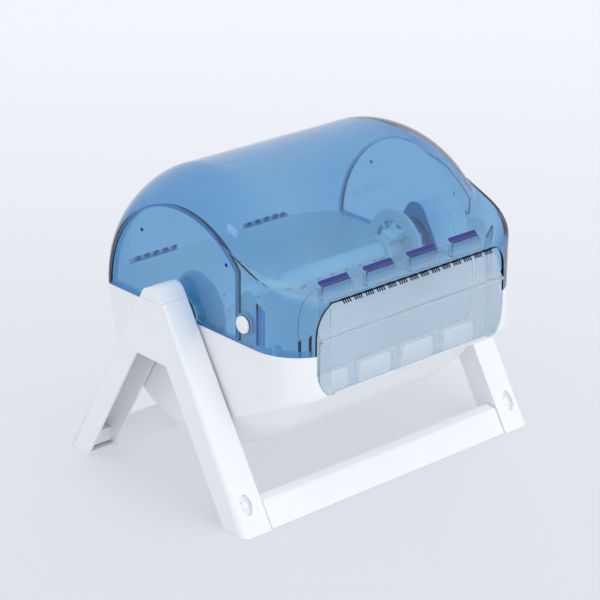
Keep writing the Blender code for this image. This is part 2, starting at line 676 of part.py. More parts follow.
def hub(shop, name, hand, grey):
    """A roll plug: a flange with a sleeve, and fins in two steps for two sizes of roll core."""
    centre = (0, 0, AXIS_Z)
    face = hand * HUB_FACE
    bore = SPINDLE_RADIUS + 0.4 * MM
    sleeve = 21 * MM
    reach = 32 * MM
    profile = [
        (face, bore),
        (face, HUB_DISC_RADIUS - 1 * MM),
        (face - hand * 1 * MM, HUB_DISC_RADIUS),
        (face - hand * 3 * MM, HUB_DISC_RADIUS),
        (face - hand * 4 * MM, HUB_DISC_RADIUS - 1 * MM),
        (face - hand * 4 * MM, sleeve),
        (face - hand * (reach - 1 * MM), sleeve),
        (face - hand * reach, sleeve - 1 * MM),
        (face - hand * reach, bore),
        (face, bore),
    ]
    made = shop.turned(name, profile, centre, grey, sides=32)
    steps = [(19 * MM, 3), (33 * MM, 3), (33 * MM, 14), (26.5 * MM, 14.2), (26.5 * MM, 27), (19 * MM, 27)]
    fin = [(face - hand * along * MM, radius) for radius, along in steps]
    for number in range(6):
        blade = shop.prism(f"{name}_fin_{number}", fin, "Y", -2.2 * MM, 2.2 * MM)
        blade.location = (0, 0, AXIS_Z)
        blade.rotation_euler = (math.radians(60 * number + 30), 0, 0)
        join(made, blade)
    shade(made)
    return made


# ---- Latches ----


def latch(shop, hand, label, white):
    """A push button in the hood, and behind it the sprung tongue that stands up from the tray."""
    wall = DRUM_HALF_LENGTH
    centre = (hand * wall, BUTTON_Y, BUTTON_Z)
    profile = [(-3.4 * MM, 0), (-3.2 * MM, 7 * MM), (-2.4 * MM, 10 * MM), (-1 * MM, BUTTON_RADIUS)]
    profile += [(3.2 * MM, BUTTON_RADIUS), (3.2 * MM, 13.5 * MM), (5 * MM, 13.5 * MM), (5 * MM, 6 * MM)]
    profile += [(8.2 * MM, 6 * MM), (8.2 * MM, 0)]
    button = shop.turned(f"{label}_latch_button", profile, centre, white, (-hand, 0, 0), 24)
    shade(button)
    top = AXIS_Z + 66 * MM
    low = AXIS_Z - 24 * MM
    middle = -119 * MM
    half = 16 * MM
    outline = [(middle - half, low), (middle + half, low), *arc((middle, top - half), half, 0, 180, 8)]
    thick = sorted((hand * (wall - 8.5 * MM), hand * (wall - 11 * MM)))
    shop.prism(f"{label}_latch_tongue", outline, "X", *thick, white, (thick[0], middle, low))


def main():
    for old in list(bpy.data.objects):
        bpy.data.objects.remove(old)
    shop = Workshop(SETBACK)
    white = material("white_abs", (0.86, 0.88, 0.89), 0.28)
    blue = material("blue_polycarbonate", (0.10, 0.28, 0.58), 0.08, alpha=0.55)
    clear = material("clear_polycarbonate", (0.75, 0.82, 0.90), 0.12, alpha=0.45)
    grey = material("pale_grey_nylon", (0.62, 0.68, 0.73), 0.45)
    steel = material("zinc_plated_steel", (0.62, 0.63, 0.65), 0.35, 1.0)
    rubber = material("grey_rubber", (0.16, 0.17, 0.18), 0.85)
    tray(shop, white)
    hood(shop, blue)
    hinge_pins(shop, steel)
    tear_guard(shop, clear)
    for hand, label in ((-1, "left"), (1, "right")):
        side_stand(shop, hand, label, white)
        latch(shop, hand, label, white)
        cradle(shop, hand, label, grey)
        hub(shop, f"{label}_hub", hand, grey)
    for place, sign in (("front", -1), ("rear", 1)):
        crossbar(shop, place, sign, white)
    foot_pads(shop, rubber)
    crossbar_screws(shop, white)
    stand_bolts(shop, steel)
    spindle_beam(shop, grey)


main()
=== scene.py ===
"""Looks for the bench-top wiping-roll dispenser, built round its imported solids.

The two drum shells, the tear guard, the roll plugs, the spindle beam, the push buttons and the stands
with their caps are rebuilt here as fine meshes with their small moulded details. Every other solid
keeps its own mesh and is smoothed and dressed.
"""

import json
import logging
import math
from dataclasses import dataclass
from enum import Enum
from typing import Iterable, Sequence

import bmesh
import bpy
from mathutils import Matrix, Vector

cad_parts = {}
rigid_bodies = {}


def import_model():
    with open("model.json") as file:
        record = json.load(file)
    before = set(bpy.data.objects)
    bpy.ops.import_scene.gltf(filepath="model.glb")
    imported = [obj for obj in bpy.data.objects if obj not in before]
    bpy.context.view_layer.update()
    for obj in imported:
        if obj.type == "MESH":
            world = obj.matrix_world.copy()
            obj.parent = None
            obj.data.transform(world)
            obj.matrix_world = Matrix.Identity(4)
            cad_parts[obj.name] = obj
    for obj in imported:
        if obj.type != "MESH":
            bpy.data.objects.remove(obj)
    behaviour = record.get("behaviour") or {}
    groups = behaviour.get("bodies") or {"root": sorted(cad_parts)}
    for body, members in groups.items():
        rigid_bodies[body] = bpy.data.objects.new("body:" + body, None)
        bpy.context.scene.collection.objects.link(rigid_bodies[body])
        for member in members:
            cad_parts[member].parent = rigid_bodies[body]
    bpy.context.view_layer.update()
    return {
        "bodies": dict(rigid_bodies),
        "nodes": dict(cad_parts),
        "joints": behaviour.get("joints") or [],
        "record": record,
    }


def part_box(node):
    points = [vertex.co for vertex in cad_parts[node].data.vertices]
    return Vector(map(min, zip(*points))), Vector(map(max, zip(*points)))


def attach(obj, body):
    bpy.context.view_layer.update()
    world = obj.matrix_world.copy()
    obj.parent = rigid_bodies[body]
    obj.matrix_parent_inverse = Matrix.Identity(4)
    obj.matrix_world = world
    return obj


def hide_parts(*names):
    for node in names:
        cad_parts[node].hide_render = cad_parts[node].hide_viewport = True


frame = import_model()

MM = 0.001
# Middles of the four tabs along the mouth, which the hood, the tray and the guard share
TAB_CENTRES = (-105.9 * MM, -35.3 * MM, 35.3 * MM, 105.9 * MM)
LOG = logging.getLogger("dispenser")
Point2 = tuple[float, float]


class Side(Enum):
    """The two halves of the drum, with the way each one bulges from the split."""

    HOOD = 1
    TRAY = -1


class Hand(Enum):
    """Left and right ends, with the sign of X there."""

    LEFT = -1
    RIGHT = 1

    @property
    def label(self) -> str:
        """Word used in the names of the pieces."""
        return self.name.lower()


# ---- Colour and nodes ----


def linear(code: str) -> tuple[float, float, float, float]:
    """Turns an sRGB hex colour into linear values.

    Args:
        code: Six hex digits, with or without a leading #.

    Returns:
        Red, green, blue and an alpha of 1.
    """
    digits = code.lstrip("#")
    parts = [int(digits[at : at + 2], 16) / 255 for at in (0, 2, 4)]
    scaled = [part / 12.92 if part <= 0.04045 else ((part + 0.055) / 1.055) ** 2.4 for part in parts]
    return scaled[0], scaled[1], scaled[2], 1.0


def add_node(tree: bpy.types.NodeTree, kind: str, settings: dict | None = None, **inputs) -> bpy.types.Node:
    """Adds a shader node.

    Args:
        tree: Node tree that receives it.
        kind: Blender's node type.
        settings: Attributes of the node itself.
        **inputs: Socket values, with spaces in socket names written as underscores. An output
            socket as a value is linked.

    Returns:
        The new node.
    """
    node = tree.nodes.new(kind)
    for name, value in (settings or {}).items():
        setattr(node, name, value)
    for name, value in inputs.items():
        key = int(name[1:]) if name[0] == "_" else name.replace("_", " ")
        if isinstance(value, bpy.types.NodeSocket):
            tree.links.new(value, node.inputs[key])
        else:
            node.inputs[key].default_value = value
    return node


def blank_material(name: str) -> tuple[bpy.types.Material, bpy.types.NodeTree, bpy.types.Node]:
    """Makes a material whose tree holds only its output.

    Args:
        name: Name of the material.

    Returns:
        The material, its tree and the output node.
    """
    made = bpy.data.materials.new(name)
    made.use_nodes = True
    tree = made.node_tree
    tree.nodes.clear()
    return made, tree, add_node(tree, "ShaderNodeOutputMaterial")


# ---- Finishes ----


@dataclass(frozen=True)
class MouldedPlastic:
    """Opaque plastic out of a spark-eroded or polished mould.

    Attributes:
        name: Name of the material.
        colour: sRGB hex colour.
        roughness: Mean roughness.
        grain: Size of the mould's texture, in mm.
        relief: Depth of that texture, in mm.
        flow: Size of the broad waviness that shrinking leaves, in mm.
        shine: Specular level, 0.5 for an outer surface of plastic.
    """

    name: str
    colour: str
    roughness: float
    grain: float = 0.7
    relief: float = 0.012
    flow: float = 45.0
    shine: float = 0.5

    def build(self) -> bpy.types.Material:
        """Makes the material.

        Returns:
            A Principled material with mould grain in its bump and roughness, and a faint tone
            drift where the plastic has flowed.
        """
        made, tree, output = blank_material(self.name)
        place = add_node(tree, "ShaderNodeTexCoord").outputs["Object"]
        grain = add_node(tree, "ShaderNodeTexNoise", Vector=place, Scale=1 / (self.grain * MM), Detail=3.0)
        flow = add_node(tree, "ShaderNodeTexNoise", Vector=place, Scale=1 / (self.flow * MM), Detail=2.0)
        rough = add_node(
            tree, "ShaderNodeMapRange", Value=grain.outputs["Fac"], From_Min=0.3, From_Max=0.7,
            To_Min=self.roughness * 0.85, To_Max=self.roughness * 1.15,
        )
        base = linear(self.colour)
        shade = tuple(value * 0.965 for value in base[:3]) + (1.0,)
        tone = add_node(tree, "ShaderNodeMix", {"data_type": "RGBA"}, _0=flow.outputs["Fac"], _6=base, _7=shade)
        bump = add_node(tree, "ShaderNodeBump", Strength=0.25, Distance=self.relief * MM, Height=grain.outputs["Fac"])
        wave = add_node(
            tree, "ShaderNodeBump", Strength=0.2, Distance=0.25 * MM, Height=flow.outputs["Fac"],
            Normal=bump.outputs["Normal"],
        )
        shader = add_node(
            tree, "ShaderNodeBsdfPrincipled", Base_Color=tone.outputs[2], Roughness=rough.outputs["Result"],
            IOR=1.53, Specular_IOR_Level=self.shine, Normal=wave.outputs["Normal"],
        )
        tree.links.new(shader.outputs[0], output.inputs["Surface"])
        return made


@dataclass(frozen=True)
class ClearPlastic:
    """See-through plastic that takes its tint from the light's path inside it.

    Attributes:
        name: Name of the material.
        kept: sRGB hex colour of what the absorbing volume lets through, which sets its hue.
        density: Absorption, per metre.
        roughness: Roughness of both surfaces.
        passing: sRGB hex tint given to lamp light that goes through one surface.
        ripple: Depth of the mould's waviness, in mm.
        haze: Share of the light that scratches and grease scatter, from 0 to 1.
    """

    name: str
    kept: str
    density: float
    roughness: float
    passing: str
    ripple: float = 0.05
    haze: float = 0.0

    def build(self) -> bpy.types.Material:
        """Makes the material.

        Returns:
            A Principled glass with an absorbing volume. Lamp light and diffuse light go straight
            through it, so that what it covers is lit.
        """
        made, tree, output = blank_material(self.name)
        place = add_node(tree, "ShaderNodeTexCoord").outputs["Object"]
        wave = add_node(tree, "ShaderNodeTexNoise", Vector=place, Scale=1 / (28 * MM), Detail=1.5)
        fine = add_node(tree, "ShaderNodeTexNoise", Vector=place, Scale=1 / (1.4 * MM), Detail=2.0)
        rough = add_node(
            tree, "ShaderNodeMapRange", Value=fine.outputs["Fac"], From_Min=0.3, From_Max=0.7,
            To_Min=self.roughness * 0.7, To_Max=self.roughness * 1.3,
        )
        bump = add_node(tree, "ShaderNodeBump", Strength=0.3, Distance=self.ripple * MM, Height=wave.outputs["Fac"])
        glass = add_node(
            tree, "ShaderNodeBsdfPrincipled", Base_Color=linear("#F2F5F9") if self.haze else (1, 1, 1, 1),
            Roughness=rough.outputs["Result"], IOR=1.58, Normal=bump.outputs["Normal"],
        )
        glass.inputs["Transmission Weight"].default_value = 1.0 - self.haze
        straight = add_node(tree, "ShaderNodeBsdfTransparent", Color=linear(self.passing))
        ray = add_node(tree, "ShaderNodeLightPath")
        light = add_node(
            tree, "ShaderNodeMath", {"operation": "MAXIMUM"}, _0=ray.outputs["Is Shadow Ray"],
            _1=ray.outputs["Is Diffuse Ray"],
        )
        mixed = add_node(
            tree, "ShaderNodeMixShader", _0=light.outputs[0], _1=glass.outputs[0], _2=straight.outputs[0]
        )
        volume = add_node(tree, "ShaderNodeVolumeAbsorption", Color=linear(self.kept), Density=self.density)
        tree.links.new(mixed.outputs[0], output.inputs["Surface"])
        tree.links.new(volume.outputs[0], output.inputs["Volume"])
        return made


@dataclass(frozen=True)
class PlatedSteel:
    """Zinc-plated, rolled steel.

    Attributes:
        name: Name of the material.
        colour: sRGB hex colour.
        roughness: Mean roughness.
    """

    name: str
    colour: str
    roughness: float

    def build(self) -> bpy.types.Material:
        """Makes the material.

        Returns:
            A metal with the small bright and dull patches that plating has.
        """
        made, tree, output = blank_material(self.name)
        place = add_node(tree, "ShaderNodeTexCoord").outputs["Object"]
        patches = add_node(tree, "ShaderNodeTexNoise", Vector=place, Scale=1 / (1.2 * MM), Detail=4.0)
        rough = add_node(
            tree, "ShaderNodeMapRange", Value=patches.outputs["Fac"], To_Min=self.roughness * 0.7,
            To_Max=self.roughness * 1.4,
        )
        bump = add_node(tree, "ShaderNodeBump", Strength=0.3, Distance=0.02 * MM, Height=patches.outputs["Fac"])
        shader = add_node(
            tree, "ShaderNodeBsdfPrincipled", Base_Color=linear(self.colour), Metallic=1.0,
            Roughness=rough.outputs["Result"], Normal=bump.outputs["Normal"],
        )
        tree.links.new(shader.outputs[0], output.inputs["Surface"])
        return made


class Finishes:
    """Every finish of the dispenser, built once."""

    def __init__(self) -> None:
        """Builds the materials."""
        # ABS out of a fine matt mould: bright and soft, with a broad satin sheen
        self.tray = MouldedPlastic("moulded_white_abs_satin", "#F4F6F7", 0.33).build()
        # ABS out of a smoother mould: the same white with tighter highlights on its round edges
        self.stand = MouldedPlastic("moulded_white_abs_gloss", "#F5F7F8", 0.24, relief=0.008).build()
        self.latch = MouldedPlastic("moulded_white_acetal", "#F6F7F8", 0.2, relief=0.004).build()
        # Glass-filled nylon: pale, a little blue, and dull
        self.nylon = MouldedPlastic("moulded_pale_nylon", "#E6ECF0", 0.42, grain=1.0).build()
        # Polycarbonate with a blue dye: light face-on, and almost black along a cut edge
        self.hood = ClearPlastic("moulded_blue_polycarbonate", "#66C9EA", 320.0, 0.03, "#FEFFFF").build()
        # The same plastic where it is thick: a deep clear blue, partly its own tint and partly painted shade for light
        # that reaches it only from its side
        self.hood_thick_shade = MouldedPlastic("blue_polycarbonate_thick", "#0028B4", 0.3, relief=0.004, shine=0.08).build()
        # Cut edges, teeth, guides and button holes of that plastic: near-black, with the shade of edge-on plastic and
        # of hollows painted in
        self.hood_edge_shade = MouldedPlastic("blue_polycarbonate_edge", "#020A26", 0.3, relief=0.004, shine=0.04).build()
        # Clear polycarbonate, hazed by handling: greyish, with soft shapes behind it
        self.guard = ClearPlastic("moulded_clear_polycarbonate", "#CCDAE2", 40.0, 0.07, "#FEFFFF", haze=0.14).build()
        # The same plastic where fine teeth are cut: frosted white
        self.frosted = MouldedPlastic("cut_frosted_polycarbonate", "#EEF3F7", 0.45).build()
        self.steel = PlatedSteel("zinc_plated_steel", "#C4C6C8", 0.32).build()
        # Rubber: dark and dull
        self.rubber = MouldedPlastic("moulded_grey_rubber", "#2A2C2F", 0.8, grain=0.9, relief=0.03).build()


# ---- Mesh work ----


def arc(centre: Point2, radius: float, start: float, end: float, steps: int) -> list[Point2]:
    """Points on an arc."""
    turns = [math.radians(start + (end - start) * step / steps) for step in range(steps + 1)]
    return [(centre[0] + radius * math.cos(t), centre[1] + radius * math.sin(t)) for t in turns]


def circle(centre: Point2, radius: float) -> list[Point2]:
    """Points of a closed circle."""
    return arc(centre, radius, 0, 345, 23)


def rounded_box(low: Point2, high: Point2, radius: float, steps: int = 6) -> list[Point2]:
    """Outline of a rectangle with round corners.

    Args:
        low: Lowest corner.
        high: Highest corner.
        radius: Corner radius.
        steps: Chords in each corner.

    Returns:
        The outline, anticlockwise.
    """
    corners = (
        ((high[0] - radius, low[1] + radius), -90), ((high[0] - radius, high[1] - radius), 0),
        ((low[0] + radius, high[1] - radius), 90), ((low[0] + radius, low[1] + radius), 180),
    )
    return [point for centre, start in corners for point in arc(centre, radius, start, start + 90, steps)]


class Bench:
    """Makes mesh objects in the row frame from outlines given in the dispenser's own frame.

    The dispenser's frame has its Y origin on the drum's axis.
    """

    def __init__(self, setback: float) -> None:
        """Sets the place of the drum's axis."""
        self.setback = setback

    def add(self, name: str, maker: bmesh.types.BMesh, finish: bpy.types.Material | None = None) -> bpy.types.Object:
        """Turns a bmesh into an object and frees it.

        Args:
            name: Name of the object.
            maker: The mesh, in the dispenser's frame.
            finish: Its material.

        Returns:
            The object.
        """
        bmesh.ops.remove_doubles(maker, verts=maker.verts, dist=1e-6)
        bmesh.ops.recalc_face_normals(maker, faces=maker.faces)
        bmesh.ops.translate(maker, verts=maker.verts, vec=(0, self.setback, 0))
        mesh = bpy.data.meshes.new(name)
        maker.to_mesh(mesh)
        maker.free()
        if finish:
            mesh.materials.append(finish)
        made = bpy.data.objects.new(name, mesh)
        bpy.context.scene.collection.objects.link(made)
        return made

    def prism(
        self, name: str, outline: Sequence[Point2], axis: str, low: float, high: float,
        finish: bpy.types.Material | None = None,
    ) -> bpy.types.Object:
        """Extrudes a flat outline.

        Args:
            name: Name of the object.
            outline: Points whose values are for the other two axes, in order.
            axis: X, Y or Z.
            low: Start along the axis.
            high: End along the axis.
            finish: Its material.

        Returns:
            The object.
        """
        maker = bmesh.new()
        self.fill_prism(maker, outline, axis, low, high)
        return self.add(name, maker, finish)

    @staticmethod
    def fill_prism(
        maker: bmesh.types.BMesh, outline: Sequence[Point2], axis: str, low: float, high: float
    ) -> None:
        """Adds a closed prism to a bmesh.

        Args:
            maker: The bmesh.
            outline: Points whose values are for the other two axes, in order.
            axis: X, Y or Z.
            low: Start along the axis.
            high: End along the axis.
        """
        rings = []
        for along in (low, high):
            spots = []
            for point in outline:
                spot = list(point)
                spot.insert("XYZ".index(axis), along)
                spots.append(maker.verts.new(spot))
            rings.append(spots)
            maker.faces.new(spots)
        for index, start in enumerate(rings[0]):
            after = (index + 1) % len(outline)
            maker.faces.new((start, rings[0][after], rings[1][after], rings[1][index]))

    def box(
        self, name: str, low: Sequence[float], high: Sequence[float], finish: bpy.types.Material | None = None
    ) -> bpy.types.Object:
        """Makes a box between two corners."""
        outline = ((low[0], low[1]), (high[0], low[1]), (high[0], high[1]), (low[0], high[1]))
        return self.prism(name, outline, "Z", low[2], high[2], finish)

    def turned(
        self, name: str, profile: Sequence[Point2], centre: Sequence[float],
        finish: bpy.types.Material | None = None, direction: Sequence[float] = (1, 0, 0), sides: int = 64,
    ) -> bpy.types.Object:
        """Spins a profile about a line.

        Args:
            name: Name of the object.
            profile: (along, radius) points. Both ends lie on the line, or the profile is closed.
            centre: A point on the line, where along is 0.
            finish: Its material.
            direction: Way along the line.
            sides: How many flats make the circle.

        Returns:
            The object.
        """
        maker = bmesh.new()
        rings = []
        for along, radius in profile:
            if radius == 0:
                rings.append([maker.verts.new((along, 0, 0))])
                continue
            turns = [2 * math.pi * side / sides for side in range(sides)]
            rings.append([maker.verts.new((along, radius * math.cos(t), radius * math.sin(t))) for t in turns])
        for first, second in zip(rings, rings[1:]):
            for side in range(sides):
                after = (side + 1) % sides
                corners = (
                    first[side % len(first)], first[after % len(first)], second[after % len(second)],
                    second[side % len(second)],
                )
                maker.faces.new(list(dict.fromkeys(corners)))
        turn = Vector((1, 0, 0)).rotation_difference(Vector(direction)).to_matrix().to_4x4()
        bmesh.ops.transform(maker, matrix=Matrix.Translation(centre) @ turn, verts=maker.verts)
        return self.add(name, maker, finish)


def carve(target: bpy.types.Object, steps: Iterable[tuple[str, bpy.types.Object]]) -> bpy.types.Object:
    """Applies Booleans and removes the tools.

    Args:
        target: Object that is changed.
        steps: Operation and tool, in order. Cut faces take the tool's materials.

    Returns:
        The target.
    """
    tools = []
    for operation, tool in steps:
        step = target.modifiers.new(tool.name, "BOOLEAN")
        step.operation = operation
        step.solver = "EXACT"
        step.object = tool
        step.material_mode = "TRANSFER"
        tools.append(tool)
    graph = bpy.context.evaluated_depsgraph_get()
    graph.update()
    made = bpy.data.meshes.new_from_object(target.evaluated_get(graph), depsgraph=graph)
    target.modifiers.clear()
    old = target.data
    target.data = made
    bpy.data.meshes.remove(old)
    for tool in tools:
        mesh = tool.data
        bpy.data.objects.remove(tool)
        if not mesh.users:
            bpy.data.meshes.remove(mesh)
    return target


def smooth(target: bpy.types.Object, degrees: float = 32.0) -> bpy.types.Object:
    """Shades a mesh smooth, with creases over an angle left sharp.

    Args:
        target: The object.
        degrees: Angle from which an edge stays sharp.

    Returns:
        The object.
    """
    target.data.shade_smooth()
    target.data.set_sharp_from_angle(angle=math.radians(degrees))
    return target


def settle(made: bpy.types.Object, body: str, node: str, degrees: float = 32.0) -> bpy.types.Object:
    """Smooths a piece and hands it to the scene.

    Args:
        made: The piece.
        body: Body that it rides on.
        node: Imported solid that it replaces.
        degrees: Angle from which an edge stays sharp.

    Returns:
        The piece.
    """
    smooth(made, degrees)
    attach(made, body)
    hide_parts(node)
    return made


def round_edges(target: bpy.types.Object, width: float, segments: int = 2, degrees: float = 40.0) -> bpy.types.Object:
    """Gives the sharp edges of a mesh a small radius.

    Args:
        target: The object.
        width: Radius of the edges.
        segments: Chords in each one.
        degrees: Angle from which an edge is rounded.

    Returns:
        The object.
    """
    step = target.modifiers.new("round edges", "BEVEL")
    step.width = width
    step.segments = segments
    step.limit_method = "ANGLE"
    step.angle_limit = math.radians(degrees)
    step.harden_normals = False
    return target


# ---- Sizes ----


@dataclass(frozen=True)
class DrumForm:
    """The drum and its snout, as distances from the drum's axis.

    Attributes:
        axis_z: Height of the axis and of the split.
        radius: Radius of the barrel.
        half_length: Half of its length.
        end_radius: Radius of its flat ends.
        straight: Half of the length over which the barrel's radius is constant.
        roll_power: Power of the curve that rolls the barrel in to its ends.
        wall: Wall thickness.
        front: Depth of the snout's front wall.
        side_front: Its depth at the drum's ends.
        snout_straight: Half of the width over which the front wall is flat.
        corner_power: Power of the curve of its corners.
        slope: Slope of its ledges.
        top: Height of the front wall above the split.
        bottom: Depth of the front wall below the split.
        ledge_blend: Size of the fillet between barrel and snout.
        nose_blend: Size of the round between ledge and front wall.
        split_gap: Gap between the two halves.
    """

    axis_z: float
    radius: float
    half_length: float
    end_radius: float = 136.2 * MM
    straight: float = 130.5 * MM
    roll_power: float = 1.53
    wall: float = 2.8 * MM
    front: float = 205.0 * MM
    side_front: float = 136.5 * MM
    snout_straight: float = 120.0 * MM
    corner_power: float = 2.1
    slope: float = 0.4
    top: float = 62.5 * MM
    bottom: float = 55.0 * MM
    ledge_blend: float = 30.0 * MM
    nose_blend: float = 9.0 * MM
    split_gap: float = 0.4 * MM

    @staticmethod
    def soft_max(first: float, second: float, blend: float) -> float:
        """Larger of two lengths, with the corner between them filled."""
        near = max(blend - abs(first - second), 0.0) / blend
        return max(first, second) + near * near * blend / 4

    def barrel(self, x: float) -> float:
        """Radius of the drum at a station.

        Args:
            x: Distance from the middle.

        Returns:
            The radius.
        """
        past = max(abs(x) - self.straight, 0) / (self.half_length - self.straight)
        roll = max(1 - past**self.roll_power, 0) ** (1 / self.roll_power)
        return self.end_radius + (self.radius - self.end_radius) * roll

    def depth(self, x: float) -> float:
        """Depth of the snout's front wall at a station.

        Args:
            x: Distance from the middle.

        Returns:
            The depth.
        """
        past = max(abs(x) - self.snout_straight, 0) / (self.half_length - self.snout_straight)
        corner = max(1 - past**self.corner_power, 0) ** (1 / self.corner_power)
        return self.side_front + (self.front - self.side_front) * corner

    def skin(self, x: float, angle: float, side: Side) -> float:
        """Distance of the outer skin from the axis.

        Args:
            x: Distance from the middle.
            angle: Degrees from the rear, over the top or under the bottom.
            side: Which half.

        Returns:
            The distance.
        """
        drum = self.barrel(x)
        if angle < 100:
            return drum
        height = self.top if side is Side.HOOD else self.bottom
        forward, upward = -math.cos(math.radians(angle)), math.sin(math.radians(angle))
        if forward <= 0:
            return drum
        wall = self.depth(x) / forward
        ledge = (height + self.slope * self.front) / (upward + self.slope * forward)
        snout = -self.soft_max(-wall, -ledge, self.nose_blend)
        share = (self.half_length - abs(x)) / (self.half_length - self.straight)
        return self.soft_max(drum, snout, self.ledge_blend * min(1.0, share) + 2 * MM)

    def stations(self) -> list[float]:
        """Places along the drum, closer together where its ends roll in.

        Returns:
            X values from left to right.
        """
        roll = self.half_length - self.straight
        half = [self.straight + roll * math.sin(math.radians(90 - 5 * step)) for step in range(19)]
        half += [self.snout_straight, 108 * MM, 90 * MM, 60 * MM, 30 * MM]
        return [-x for x in half] + [0.0] + list(reversed(half))

    @staticmethod
    def angles() -> list[float]:
        """Angles of the skin's lines, closer together round the snout."""
        coarse = [3.0 * step for step in range(36)]
        return coarse + [108.0 + 2.0 * step for step in range(15)] + [138.0 + 1.2 * step for step in range(36)]


@dataclass(frozen=True)
class Layout:
    """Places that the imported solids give.

    Attributes:
        setback: Y of the drum's axis in the row frame.
        drum: Form of the drum.
        hinge_y: Y of the hinge's axis, from the drum's axis.
        knuckle_radius: Radius of the hinge's knuckles.
        pin_radius: Radius of its pins.
        button: Middle of the left push button's outer face.
        button_radius: Its radius.
    """

    setback: float
    drum: DrumForm
    hinge_y: float
    knuckle_radius: float
    pin_radius: float
    button: Vector
    button_radius: float

    @classmethod
    def read(cls) -> "Layout":
        """Reads the places from the frame.

        Returns:
            The layout.
        """
        beam_low, beam_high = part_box("spindle_beam")
        hood_low, hood_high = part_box("hood")
        pin_low, pin_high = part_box("left_hinge_pin")
        button_low, button_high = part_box("left_latch_button")
        setback = (beam_low.y + beam_high.y) / 2
        axis_z = (pin_low.z + pin_high.z) / 2
        drum = DrumForm(axis_z, hood_high.z - axis_z - 0.2 * MM, hood_high.x)
        middle = (button_low + button_high) / 2
        button = Vector((button_low.x, middle.y - setback, middle.z))
        hinge_y = (pin_low.y + pin_high.y) / 2 - setback
        return cls(setback, drum, hinge_y, axis_z - hood_low.z, (pin_high.z - pin_low.z) / 2, button, 11.0 * MM)


# ---- Drum shells ----


@dataclass
class Piece:
    """A moulded piece that is built here.

    Attributes:
        layout: Places from the frame.
        bench: Maker of meshes.
        finish: Its main material.
    """

    layout: Layout
    bench: Bench
    finish: bpy.types.Material


@dataclass
class EndPiece(Piece):
    """A piece that the dispenser has at both ends.

    Attributes:
        hand: Which end it is at.
    """

    hand: Hand


